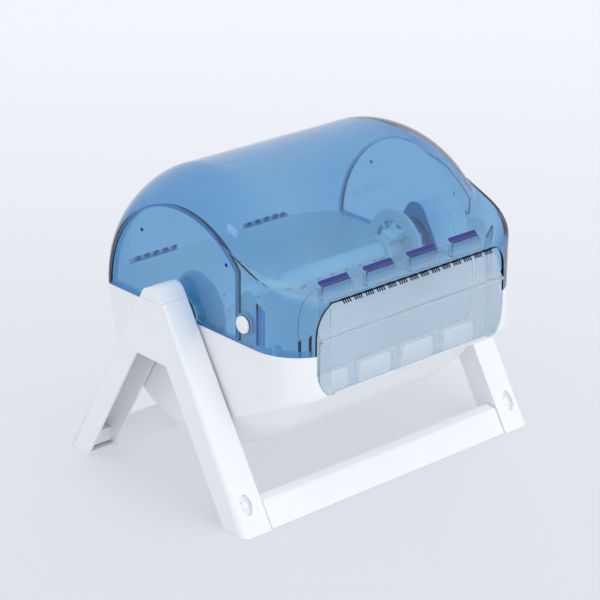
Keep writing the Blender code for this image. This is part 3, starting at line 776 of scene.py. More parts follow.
@dataclass
class DrumShell(Piece):
    """One half of the drum, with its half of the mouth, its knuckles and its tabs.

    Attributes:
        side: Which half.
        edge_finish: Material of cut edges; the hood's is a near-black of painted shade, which its teeth, guides and
            button holes also take.
        thick_finish: Material of thick places; the hood's is a deep blue, its tint partly painted shade.
        rim_half: Half of the mouth's width at the split.
        top_half: Half of its width along its far edge.
        hinge_start: X at which a row of knuckles starts.
        knuckle_pitch: Distance between knuckles.
        knuckles: How many a row has, in both shells together.
    """

    side: Side
    edge_finish: bpy.types.Material
    thick_finish: bpy.types.Material
    rim_half: float = 154.0 * MM
    top_half: float = 130.0 * MM
    hinge_start: float = 57.0 * MM
    knuckle_pitch: float = 7.4 * MM
    knuckles: int = 10

    def wall(self) -> bpy.types.Object:
        """Makes the plain shell.

        Returns:
            A closed wall of even thickness, open at the split.
        """
        form = self.layout.drum
        sign = self.side.value
        maker = bmesh.new()
        squeeze = (form.half_length - form.wall) / form.half_length
        rims = []
        for scale, inset in ((1.0, 0.0), (squeeze, form.wall)):
            rows = []
            for x in form.stations():
                row = []
                for angle in form.angles():
                    radius = form.skin(x, angle, self.side) - inset
                    turn = math.radians(angle)
                    height = form.axis_z + sign * (radius * math.sin(turn) + form.split_gap / 2)
                    row.append(maker.verts.new((x * scale, radius * math.cos(turn), height)))
                rows.append(row)
            for first, second in zip(rows, rows[1:]):
                for index in range(len(first) - 1):
                    maker.faces.new((first[index], first[index + 1], second[index + 1], second[index]))
            maker.faces.new(rows[0])
            maker.faces.new(rows[-1])
            rims.append(rows)
        outside, inside = rims
        for edge in (0, -1):
            for index in range(len(outside) - 1):
                after = index + 1
                corners = (outside[index][edge], outside[after][edge], inside[after][edge], inside[index][edge])
                maker.faces.new(corners)
            maker.faces.new((outside[edge][0], outside[edge][-1], inside[edge][-1], inside[edge][0]))
        return self.bench.add(self.side.name.lower() + "_shell", maker, self.finish)

    def knuckle_block(self) -> bpy.types.Object:
        """Makes this half's hinge knuckles.

        Returns:
            The knuckles, as one object.
        """
        place = self.layout
        sign = self.side.value
        sweep = arc((place.hinge_y, place.drum.axis_z), place.knuckle_radius, sign * 172, sign * 450, 24)
        root = place.drum.radius - 1.6 * MM
        outline = [(root, place.drum.axis_z + sign * 0.6 * MM), *sweep, (root, place.drum.axis_z + sign * 8 * MM)]
        width = self.knuckle_pitch - 0.3 * MM
        maker = bmesh.new()
        for hand in Hand:
            for number in range(self.knuckles):
                if (number % 2 == 0) == (self.side is Side.HOOD):
                    start = hand.value * (self.hinge_start + (number + 0.5) * self.knuckle_pitch) - width / 2
                    self.bench.fill_prism(maker, outline, "X", start, start + width)
        return self.bench.add("knuckles", maker, self.finish)

    def bores(self) -> bpy.types.Object:
        """Makes the cutter for the hinge pins.

        Returns:
            Two bars, as one object.
        """
        place = self.layout
        outline = circle((place.hinge_y, place.drum.axis_z), place.pin_radius + 0.3 * MM)
        maker = bmesh.new()
        for hand in Hand:
            ends = sorted(hand.value * (self.hinge_start + reach) for reach in (-6 * MM, 80 * MM))
            self.bench.fill_prism(maker, outline, "X", *ends)
        return self.bench.add("bores", maker)

    def mouth(self, teeth: list[Point2], height: float) -> bpy.types.Object:
        """Makes the cutter for this half of the mouth.

        Args:
            teeth: (x, height from the split) points of the toothed edge, from right to left.
            height: Height of the mouth's edge from the split.

        Returns:
            The cutter. Its faces give the cut edge its material, on the hood a near-black of painted shade.
        """
        form = self.layout.drum
        sign = self.side.value
        bulge = self.rim_half - self.top_half
        turns = [math.radians(degrees) for degrees in range(0, 90, 9)]
        flank = [
            (self.rim_half - bulge * (1 - math.cos(t)), height * (0.34 + 0.66 * math.sin(t))) for t in turns
        ]
        right = [(self.rim_half, -5 * MM), *flank]
        left = [(-x, z) for x, z in reversed(right)]
        outline = [(x, form.axis_z + sign * z) for x, z in [*right, *teeth, *left]]
        # On the hood the cut edge takes a near-black of painted shade
        made = self.bench.prism("mouth", outline, "Y", -240 * MM, -(form.front - 30 * MM), self.edge_finish)
        made.data.materials.append(self.finish)
        for face in made.data.polygons:
            if abs(face.normal.z) > 0.9:
                face.material_index = 1
        return made


@dataclass
class Hood(DrumShell):
    """The see-through upper shell.

    Attributes:
        group_pitch: Distance between groups of saw teeth.
        tooth_pitch: Distance between teeth in a group.
        tooth_width: Width of a tooth at its root.
        tooth_lean: How far its tip stands to the right of its root.
        tooth_root: How far it reaches above the edge.
        tooth_length: How far it hangs below the edge.
        tooth_front: Y of its front face.
        tooth_depth: Its thickness.
        recess: Depth of the flat D.
        recess_radius: Radius of its arc.
        recess_front: Distance of its chord from the axis.
        cup_radius: Outer radius of the cup over the spindle's end.
        cup_wall: Wall thickness of the cup.
        flange: Height of the strip left below the D.
        rib_y: Y of the rib beside the latch.
        rib_half: Half of its thickness.
        guides: X and height of each short guide beside the mouth.
        mark_spots: (y, z) of the ejector marks.
        mark_radius: Their radius.
    """

    group_pitch: float = 17.9 * MM
    tooth_pitch: float = 3.4 * MM
    tooth_width: float = 1.3 * MM
    tooth_lean: float = 3.9 * MM
    tooth_root: float = 2.2 * MM
    tooth_length: float = 5.2 * MM
    tooth_front: float = -203.5 * MM
    tooth_depth: float = 1.6 * MM
    recess: float = 5.0 * MM
    recess_radius: float = 134.0 * MM
    recess_front: float = 103.0 * MM
    cup_radius: float = 29.0 * MM
    cup_wall: float = 2.4 * MM
    flange: float = 3.4 * MM
    rib_y: float = -139.5 * MM
    rib_half: float = 1.7 * MM
    guides: tuple[Point2, ...] = ((158.5 * MM, 30 * MM), (168.5 * MM, 26 * MM))
    mark_spots: tuple[Point2, ...] = ((76.3 * MM, 305.6 * MM), (-80.8 * MM, 306.2 * MM))
    mark_radius: float = 2.4 * MM

    def saw_teeth(self) -> bpy.types.Object:
        """Makes the leaning teeth that hang from the mouth's upper edge, in groups of four.

        Returns:
            The finished teeth, riding with the hood.
        """
        form = self.layout.drum
        root_z = form.axis_z + form.top + self.tooth_root
        tip_z = form.axis_z + form.top - self.tooth_length
        maker = bmesh.new()
        groups = int(2 * self.top_half / self.group_pitch)
        start = groups * self.group_pitch / 2
        for group in range(groups):
            for number in range(4):
                root = start - group * self.group_pitch - (number + 0.4) * self.tooth_pitch
                tip = root + self.tooth_lean
                outline = [(root, root_z), (root - self.tooth_width, root_z)]
                outline += [(tip - self.tooth_width * 0.8, tip_z), (tip, tip_z)]
                back = self.tooth_front + self.tooth_depth
                self.bench.fill_prism(maker, outline, "Y", self.tooth_front, back)
        # The teeth take the hood's near-black edge finish: painted shade, not the thin plastic's own tint
        made = self.bench.add("saw_teeth", maker, self.edge_finish)
        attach(made, "hood")
        return made

    def inward(self, hand: Hand, *depths: float) -> list[float]:
        """X values, in order, of depths inwards from an end's outer face."""
        return sorted(hand.value * (self.layout.drum.half_length - depth) for depth in depths)

    def panel_outline(self, inset: float, base: float) -> list[Point2]:
        """Outline of the flat D of an end.

        Args:
            inset: How far it lies inside the recess's own outline.
            base: Height of its lower edge.

        Returns:
            (y, z) points from the rear, over the top, to the front.
        """
        centre = (0, self.layout.drum.axis_z)
        radius = self.recess_radius - inset
        front = self.recess_front - inset
        reach = math.degrees(math.acos(front / radius))
        return [(radius, base), *arc(centre, radius, 2, 180 - reach, 60), (-front, base)]

    def end_steps(self, hand: Hand) -> Iterable[tuple[str, bpy.types.Object]]:
        """Makes the tools that sink a flat D in an end, round a cup over the spindle's end.

        Args:
            hand: Which end.

        Yields:
            Operations and tools: the plate that thickens the end inside, the recess, the cup's
            hollow, and two ejector marks.
        """
        form, prism = self.layout.drum, self.bench.prism
        outline = self.panel_outline(-form.wall * 0.9, form.axis_z + 0.25 * MM)
        ends = self.inward(hand, self.recess + form.wall, form.wall - 0.6 * MM)
        yield "UNION", prism("plate", outline, "X", *ends, self.finish)
        base, cup = form.axis_z + self.flange, self.cup_radius
        ring = [point for point in arc((0, form.axis_z), cup, 180, 0, 36) if point[1] > base]
        outline = [*self.panel_outline(0, base), (-cup, base), *ring, (cup, base)]
        yield "DIFFERENCE", prism("recess", outline, "X", *self.inward(hand, self.recess, -5 * MM), self.finish)
        room, low = cup - self.cup_wall, form.axis_z - 5 * MM
        outline = [*arc((0, form.axis_z), room, 180, 0, 36), (room, low), (-room, low)]
        yield "DIFFERENCE", prism("cup", outline, "X", *self.inward(hand, form.wall, 20 * MM), self.finish)
        maker = bmesh.new()
        for spot in self.mark_spots:
            ends = self.inward(hand, self.recess + 0.5 * MM, self.recess - 3 * MM)
            self.bench.fill_prism(maker, circle(spot, self.mark_radius), "X", *ends)
        # The marks' walls take the hood's deep blue thick finish, which is partly painted shade in the hollows
        yield "DIFFERENCE", self.bench.add("marks", maker, self.thick_finish)

    def rib_steps(self, hand: Hand) -> Iterable[tuple[str, bpy.types.Object]]:
        """Makes the ribs inside a corner of the snout.

        Args:
            hand: Which end.

        Yields:
            Operations and tools: the upright rib beside the latch, and the pair of short guides
            beside the mouth.
        """
        form = self.layout.drum
        low, high = form.axis_z + 0.8 * MM, form.axis_z + 59 * MM
        outer, inner = form.half_length - 1.2 * MM, form.half_length - 13 * MM
        outline = [(outer, low), (outer, high), (outer - 4 * MM, high - 2 * MM), (inner, high - 12 * MM)]
        outline = [(hand.value * x, z) for x, z in (*outline, (inner, low))]
        ends = (self.rib_y - self.rib_half, self.rib_y + self.rib_half)
        yield "UNION", self.bench.prism("rib", outline, "Y", *ends, self.finish)
        maker = bmesh.new()
        for x, height in self.guides:
            front = -form.depth(x)
            outline = [(front + 1.4 * MM, low), (front + 7 * MM, low), (front + 7 * MM, low + height - 9 * MM)]
            outline += [(front + 1.4 * MM, low + height)]
            ends = sorted((hand.value * (x - 0.8 * MM), hand.value * (x + 0.8 * MM)))
            self.bench.fill_prism(maker, outline, "X", *ends)
        # The guides take the hood's near-black edge finish: painted shade
        yield "UNION", self.bench.add("guides", maker, self.edge_finish)

    def tab(self, centre: float) -> bpy.types.Object:
        """Makes one tab that hangs from the ledge into the tear guard."""
        outline = rounded_box((centre - 22.2 * MM, 279 * MM), (centre + 22.2 * MM, 291.4 * MM), 1.5 * MM, 3)
        return self.bench.prism("tab", outline, "Y", -178.4 * MM, -176 * MM, self.finish)

    def tab_root(self, centre: float) -> bpy.types.Object:
        """Makes the thick bar that a tab hangs from.

        Args:
            centre: X of its centre.

        Returns:
            The bar, deep blue: partly the thick plastic's tint, partly painted shade.
        """
        form = self.layout.drum
        near, far = -174.8 * MM, -169.8 * MM
        slope = form.slope
        surface = [(y, form.axis_z + form.top + slope * (form.front + y) + 0.5 * MM) for y in (near, far)]
        outline = [(y, z - 2.9 * MM) for y, z in surface] + list(reversed(surface))
        return self.bench.prism("root", outline, "X", centre - 22.3 * MM, centre + 22.3 * MM, self.thick_finish)

    def build(self) -> bpy.types.Object:
        """Makes the hood.

        Returns:
            The finished piece, riding on its body.
        """
        made = self.wall()
        steps = [("DIFFERENCE", self.mouth([], self.layout.drum.top))]
        self.saw_teeth()
        for hand in Hand:
            steps += [*self.end_steps(hand), *self.rib_steps(hand)]
        steps += [("UNION", self.knuckle_block()), ("DIFFERENCE", self.bores())]
        for centre in TAB_CENTRES:
            steps += [("UNION", self.tab(centre)), ("UNION", self.tab_root(centre))]
        place = self.layout
        for hand in Hand:
            centre = (hand.value * (place.drum.half_length + 5 * MM), place.button.y, place.button.z)
            depth = 14 * MM
            radius = place.button_radius + 0.4 * MM
            profile = [(0, 0), (0, radius), (depth, radius), (depth, 0)]
            # The hole's walls take the hood's near-black edge finish: painted shade inside the hole
            hole = self.bench.turned("hole", profile, centre, self.edge_finish, (-hand.value, 0, 0), 48)
            steps.append(("DIFFERENCE", hole))
        carve(made, steps)
        made.name = "hood_skin"
        return settle(made, "hood", "hood")


@dataclass
class Tray(DrumShell):
    """The white lower shell."""

    tooth_pitch: float = 2.6 * MM
    tooth_depth: float = 1.1 * MM

    def teeth(self) -> list[Point2]:
        """Outline of the finely toothed lower lip.

        Returns:
            Points from right to left.
        """
        bottom = self.layout.drum.bottom
        count = int(2 * (self.top_half - 4 * MM) / self.tooth_pitch)
        start = count * self.tooth_pitch / 2
        points: list[Point2] = []
        for number in range(count):
            root = start - number * self.tooth_pitch
            points += [(root, bottom), (root - self.tooth_pitch / 2, bottom - self.tooth_depth)]
        return points

    def tab(self, centre: float) -> bpy.types.Object:
        """Makes one tab that stands behind the mouth and holds the tear guard."""
        outline = rounded_box((centre - 26 * MM, 146.4 * MM), (centre + 26 * MM, 176 * MM), 4 * MM, 5)
        return self.bench.prism("tab", outline, "Y", -168.9 * MM, -166.4 * MM, self.finish)

    def corner_band(self, name: str, hand: Hand, insets: Point2, start: float, span: Point2) -> bpy.types.Object:
        """Makes a level band inside the snout's corner: the upstand that centres the hood, or its shelf.

        Args:
            name: Name of the object.
            hand: Which end.
            insets: Depths of its two faces inside the outer skin.
            start: X from which it runs to the drum's end.
            span: Its lower and upper heights from the split.

        Returns:
            The band.
        """
        form = self.layout.drum
        rows = []
        for inset in insets:
            scale = 1 - inset / form.half_length
            stations = [x for x in form.stations() if start < x]
            rows.append([(hand.value * x * scale, -(form.depth(x) - inset)) for x in stations])
        outline = rows[0] + rows[1][::-1]
        return self.bench.prism(name, outline, "Z", form.axis_z + span[0], form.axis_z + span[1], self.finish)

    def locating_lug(self, hand: Hand) -> bpy.types.Object:
        """Makes the round-topped lug on the upstand.

        Args:
            hand: Which end.

        Returns:
            The lug.
        """
        form = self.layout.drum
        x = 187.0 * MM
        y = -(form.depth(x) - form.wall - 1.4 * MM)
        lug = self.bench.prism(
            "lug",
            rounded_box((-5.5 * MM, form.axis_z - 2 * MM), (5.5 * MM, form.axis_z + 13 * MM), 2.5 * MM, 4), "Y",
            -1.1 * MM, 1.1 * MM, self.finish,
        )
        turn = Matrix.Rotation(math.radians(-50) * hand.value * -1, 4, "Z")
        setback = Matrix.Translation((0, -self.layout.setback, 0))
        back = Matrix.Translation((hand.value * x * 0.985, y + self.layout.setback + 1.0 * MM, 0))
        lug.data.transform(back @ turn @ setback)
        return lug

    def build(self) -> bpy.types.Object:
        """Makes the tray.

        Returns:
            The finished piece, riding on its body.
        """
        made = self.wall()
        steps = [("DIFFERENCE", self.mouth(self.teeth(), self.layout.drum.bottom)), ("UNION", self.knuckle_block())]
        steps += [("DIFFERENCE", self.bores())]
        steps += [("UNION", self.tab(centre)) for centre in TAB_CENTRES]
        wall = self.layout.drum.wall
        for hand in Hand:
            shelf = self.corner_band(
                "lip_web", hand, (1.4 * MM, wall + 2.0 * MM), self.rim_half, (-3.6 * MM, -1.4 * MM)
            )
            upstand = self.corner_band(
                "lip", hand, (wall + 0.5 * MM, wall + 2.2 * MM), self.rim_half - 1 * MM, (-4 * MM, 6.5 * MM)
            )
            steps += [("UNION", shelf), ("UNION", upstand), ("UNION", self.locating_lug(hand))]
        carve(made, steps)
        made.name = "tray_skin"
        return settle(made, "base", "tray")


# ---- Tear guard ----


@dataclass
class TearGuard(Piece):
    """The clear plate in the mouth, with its frame, its cove and its pockets.

    Attributes:
        frosted: Material of its cut teeth.
    """

    frosted: bpy.types.Material
    tooth_pitch: float = 2.6 * MM
    sheet: float = 1.8 * MM
    strip_y: float = -194.0 * MM
    ridge_y: float = -203.4 * MM
    panel_y: float = -199.5 * MM
    frame_y: float = -172.9 * MM
    frame_thickness: float = 1.6 * MM
    frame_half: float = 159.8 * MM
    frame_low: float = 156.2 * MM
    frame_high: float = 288.3 * MM
    corner: float = 33.0 * MM

    def face_outline(self) -> list[Point2]:
        """Front outline of the face, which nearly fills the mouth.

        Returns:
            (x, z) points, anticlockwise.
        """
        axis = self.layout.drum.axis_z
        flank = [(128, -54.2), (133, -53.4), (140.5, -49), (146.0, -42), (149.6, -34), (151.4, -24)]
        flank += [(151.6, -8.0), (152.2, 12), (151.4, 26), (148.6, 38), (143.4, 48), (136.6, 55.5)]
        flank += [(129, 60.5)]
        right = [(x * MM, axis + z * MM) for x, z in flank]
        return right + [(-x, z) for x, z in reversed(right)]

    def face_section(self) -> list[Point2]:
        """Section of the face: strip, cove, ridge and lower panel.

        Returns:
            (y, z) points round the sheet.
        """
        span = self.ridge_y - self.strip_y
        cove = [
            (self.ridge_y - span * math.cos(math.radians(t)), 0.2585 - 20.5 * MM * math.sin(math.radians(t)))
            for t in range(0, 91, 6)
        ]
        nose = arc((self.ridge_y + 1.2 * MM, 236.6 * MM), 1.3 * MM, 180, 250, 4)
        drops = ((0.6, 233.6), (0.1, 232.4), (0.0, 230.8))
        fillet = [(self.panel_y - out * MM, z * MM) for out, z in drops]
        front = [(self.strip_y, 290 * MM), *cove, *nose, *fillet, (self.panel_y, 150 * MM)]
        return front + [(y + self.sheet, z) for y, z in reversed(front)]

    def lower_teeth(self) -> bpy.types.Object:
        """Makes the fine leaning teeth along the lower edge.

        Returns:
            The teeth, as one object, frosted by their cut faces.
        """
        low = self.layout.drum.axis_z - 54.6 * MM
        maker = bmesh.new()
        count = int(2 * 127 * MM / self.tooth_pitch)
        for number in range(count):
            x = -127 * MM + (number + 0.5) * self.tooth_pitch
            half, lean = self.tooth_pitch * 0.36, 0.9 * MM
            outline = [(x - half, low), (x + half, low)]
            outline += [(x + half - lean, low + 3.2 * MM), (x - half - lean, low + 3.2 * MM)]
            self.bench.fill_prism(maker, outline, "Y", self.panel_y - 1.7 * MM, self.panel_y + 0.5 * MM)
        return self.bench.add("lower_teeth", maker, self.frosted)

    def pocket(self, low: Sequence[float], high: Sequence[float], radius: float, inner: float) -> bpy.types.Object:
        """Makes the round-cornered sleeve that takes one tab.

        Args:
            low: Lowest (x, y, z) corner.
            high: Highest corner.
            radius: Radius of its corners, seen from the front.
            inner: Wall thickness.

        Returns:
            The sleeve, open downwards.
        """
        outer = rounded_box((low[0], low[2]), (high[0], high[2]), radius, 6)
        made = self.bench.prism("pocket", outer, "Y", low[1], high[1], self.finish)
        room = rounded_box((low[0] + inner, low[2] - 20 * MM), (high[0] - inner, high[2] - inner), radius - inner, 6)
        tool = self.bench.prism("room", room, "Y", low[1] - 1 * MM, high[1] - inner, self.finish)
        return carve(made, [("DIFFERENCE", tool)])

    def build(self) -> bpy.types.Object:
        """Makes the guard.

        Returns:
            The finished piece, riding on its body.
        """
        made = self.bench.prism("tear_guard_plate", self.face_section(), "X", -0.15, 0.15, self.finish)
        clip = self.bench.prism("clip", self.face_outline(), "Y", -0.25, -0.1, self.finish)
        frame = self.bench.prism(
            "frame",
            rounded_box((-self.frame_half, self.frame_low), (self.frame_half, self.frame_high), self.corner, 12),
            "Y",
            self.frame_y,
            self.frame_y + self.frame_thickness,
            self.finish,
        )
        window = self.bench.prism(
            "window", rounded_box((-0.125, 0.183), (0.125, 0.266), 14 * MM, 8), "Y", -0.25, -0.1, self.finish
        )
        carve(frame, [("DIFFERENCE", window)])
        steps = [("INTERSECT", clip), ("UNION", frame)]
        back = self.frame_y + self.frame_thickness
        for centre in TAB_CENTRES:
            low = (centre - 28.5 * MM, back - 0.5 * MM, 158 * MM)
            high = (centre + 28.5 * MM, -163.6 * MM, 179 * MM)
            steps.append(("UNION", self.pocket(low, high, 7 * MM, 1.6 * MM)))
            low = (centre - 24.4 * MM, -181.5 * MM, 273.5 * MM)
            high = (centre + 24.4 * MM, self.frame_y + 0.5 * MM, 287 * MM)
            steps.append(("UNION", self.bench.box("block", low, high, self.finish)))
            low = (centre - 23.0 * MM, -180.2 * MM, 275 * MM)
            high = (centre + 23.0 * MM, self.frame_y - 0.8 * MM, 295 * MM)
            steps.append(("DIFFERENCE", self.bench.box("hollow", low, high, self.finish)))
        for hand in Hand:
            ends = sorted((hand.value * 128.4 * MM, hand.value * 129.4 * MM))
            low = (ends[0], self.strip_y + 0.4 * MM, 172 * MM)
            high = (ends[1], self.frame_y + 0.5 * MM, 270 * MM)
            steps.append(("UNION", self.bench.box("web", low, high, self.finish)))
        steps.append(("UNION", self.lower_teeth()))
        carve(made, steps)
        return settle(made, "base", "tear_guard", 30)


# ---- Spindle ----


@dataclass
class RollPlug(EndPiece):
    """A hub that fits in the end of the roll: a flange and a crown of stepped lugs."""

    reach: float = 32.0 * MM
    disc: float = 48.5 * MM
    sleeve: float = 20.0 * MM
    bore: float = 12.5 * MM
    lugs: int = 8

    def lug(self, number: int) -> bpy.types.Object:
        """Makes one lug: a channel whose back steps down along the hub.

        Args:
            number: Which one, counted round the hub.

        Returns:
            The lug.
        """
        steps = [(18.4, 3), (33, 3), (33, 15), (32, 16), (26.8, 16.3), (26.4, 28), (25.4, 29), (18.4, 29)]
        outline = [(along * MM, radius * MM) for radius, along in steps]
        made = self.bench.prism("lug", outline, "Y", -8.2 * MM, 8.2 * MM, self.finish)
        round_edges(made, 0.9 * MM, 2)
        hollow = [(along * MM, radius * MM) for radius, along in ((21.5, 5.5), (45, 5.5), (45, 13), (21.5, 13))]
        tool = self.bench.prism("hollow", hollow, "Y", -4.8 * MM, 4.8 * MM, self.finish)
        carve(made, [("DIFFERENCE", tool)])
        # The maker's setback is taken out again, because the lug is turned about the spindle
        made.data.transform(Matrix.Translation((0, -self.layout.setback, 0)))
        made.data.transform(Matrix.Rotation(2 * math.pi * (number + 0.5) / self.lugs, 4, "X"))
        if self.hand is Hand.RIGHT:
            made.data.transform(Matrix.Rotation(math.pi, 4, "Z"))
        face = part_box(self.node)[0 if self.hand is Hand.LEFT else 1].x
        made.data.transform(Matrix.Translation((face, self.layout.setback, self.layout.drum.axis_z)))
        return made

    @property
    def node(self) -> str:
        """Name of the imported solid."""
        return self.hand.label + "_hub"

    def build(self) -> bpy.types.Object:
        """Makes the hub.

        Returns:
            The finished piece, riding on its body.
        """
        edge = 1.2 * MM
        profile = [
            (0, self.bore), (0, self.disc - edge), (0.4 * MM, self.disc - 0.3 * MM), (edge, self.disc),
            (3 * MM, self.disc), (4 * MM, self.disc - edge), (4 * MM, self.disc - 5 * MM),
            (3.2 * MM, self.disc - 6 * MM), (3.2 * MM, self.sleeve + 2 * MM), (4.6 * MM, self.sleeve),
            (self.reach - edge, self.sleeve), (self.reach, self.sleeve - edge), (self.reach, self.bore),
            (0, self.bore),
        ]
        low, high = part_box(self.node)
        face = low.x if self.hand is Hand.LEFT else high.x
        centre = (face, 0, self.layout.drum.axis_z)
        made = self.bench.turned(
            self.hand.label + "_roll_plug", profile, centre, self.finish, (-self.hand.value, 0, 0), 96
        )
        carve(made, [("UNION", self.lug(number)) for number in range(self.lugs)])
        return settle(made, "spindle" if self.hand is Hand.LEFT else "sliding_hub", self.node, 34)


@dataclass
class SpindleBeam(Piece):
    """The beam between the hubs, ringed where the sliding hub grips it."""

    radius: float = 12.0 * MM
    journal: float = 8.0 * MM
    ring_pitch: float = 3.2 * MM
    ring_depth: float = 0.7 * MM
    rings: int = 17

    def build(self) -> bpy.types.Object:
        """Makes the beam.

        Returns:
            The finished piece, riding on its body.
        """
        low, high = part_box("spindle_beam")
        shaft = 166.0 * MM
        start = 74.0 * MM
        profile = [(low.x, 0), (low.x, self.journal - 1 * MM), (low.x + 1 * MM, self.journal)]
        profile += [(-shaft, self.journal), (-shaft, self.radius - 1 * MM), (1 * MM - shaft, self.radius)]
        groove = self.radius - self.ring_depth
        for number in range(self.rings):
            at = start + number * self.ring_pitch
            profile += [
                (at, self.radius), (at + self.ring_pitch * 0.18, groove), (at + self.ring_pitch * 0.42, groove),
                (at + self.ring_pitch * 0.6, self.radius),
            ]
        profile += [(shaft - 1 * MM, self.radius), (shaft, self.radius - 1 * MM), (shaft, self.journal)]
        profile += [(high.x - 1 * MM, self.journal), (high.x, self.journal - 1 * MM), (high.x, 0)]
        axis = self.layout.drum.axis_z
        made = self.bench.turned("ringed_spindle_beam", profile, (0, 0, axis), self.finish, (1, 0, 0), 64)
        steps = []
        for sign in (-1, 1):
            near, far = sorted((sign * 3.5 * MM, sign * 20 * MM))
            flank = self.bench.box("flank", (-0.128, near, axis - 0.02), (0.128, far, axis - 2.5 * MM), self.finish)
            steps.append(("DIFFERENCE", flank))
        for number in range(-5, 6):
            middle = number * 24 * MM
            top, bottom = axis - 3.2 * MM, axis - 10 * MM
            points = [(-10.4, top), (10.4, top), (0.8, bottom), (-0.8, bottom)]
            outline = [(middle + x * MM, z) for x, z in points]
            steps.append(("DIFFERENCE", self.bench.prism("truss", outline, "Y", -0.02, 0.02, self.finish)))
        carve(made, steps)
        return settle(made, "spindle", "spindle_beam", 30)


# ---- Latches ----


@dataclass
class LatchButton(EndPiece):
    """The round push button in an end of the hood."""

    def build(self) -> bpy.types.Object:
        """Makes the button.

        Returns:
            The finished piece, riding on its body.
        """
        place = self.layout
        radius = place.button_radius
        dome = [(-3.4, 0.0), (-3.38, 3.0), (-3.25, 5.5), (-3.0, 7.6)]
        dome += [(-2.5, 9.4), (-1.8, 10.4), (-0.9, 10.9), (0.2, 11.0)]
        profile = [(along * MM, wide * MM) for along, wide in dome]
        profile += [(3.2 * MM, radius), (3.2 * MM, 13.5 * MM), (5 * MM, 13.5 * MM), (5 * MM, 6 * MM)]
        profile += [(8.2 * MM, 6 * MM), (8.2 * MM, 0)]
        centre = (self.hand.value * place.drum.half_length, place.button.y, place.button.z)
        name = self.hand.label + "_push_button"
        made = self.bench.turned(name, profile, centre, self.finish, (-self.hand.value, 0, 0), 64)
        return settle(made, self.hand.label + "_button", self.hand.label + "_latch_button", 40)


# ---- Stands ----


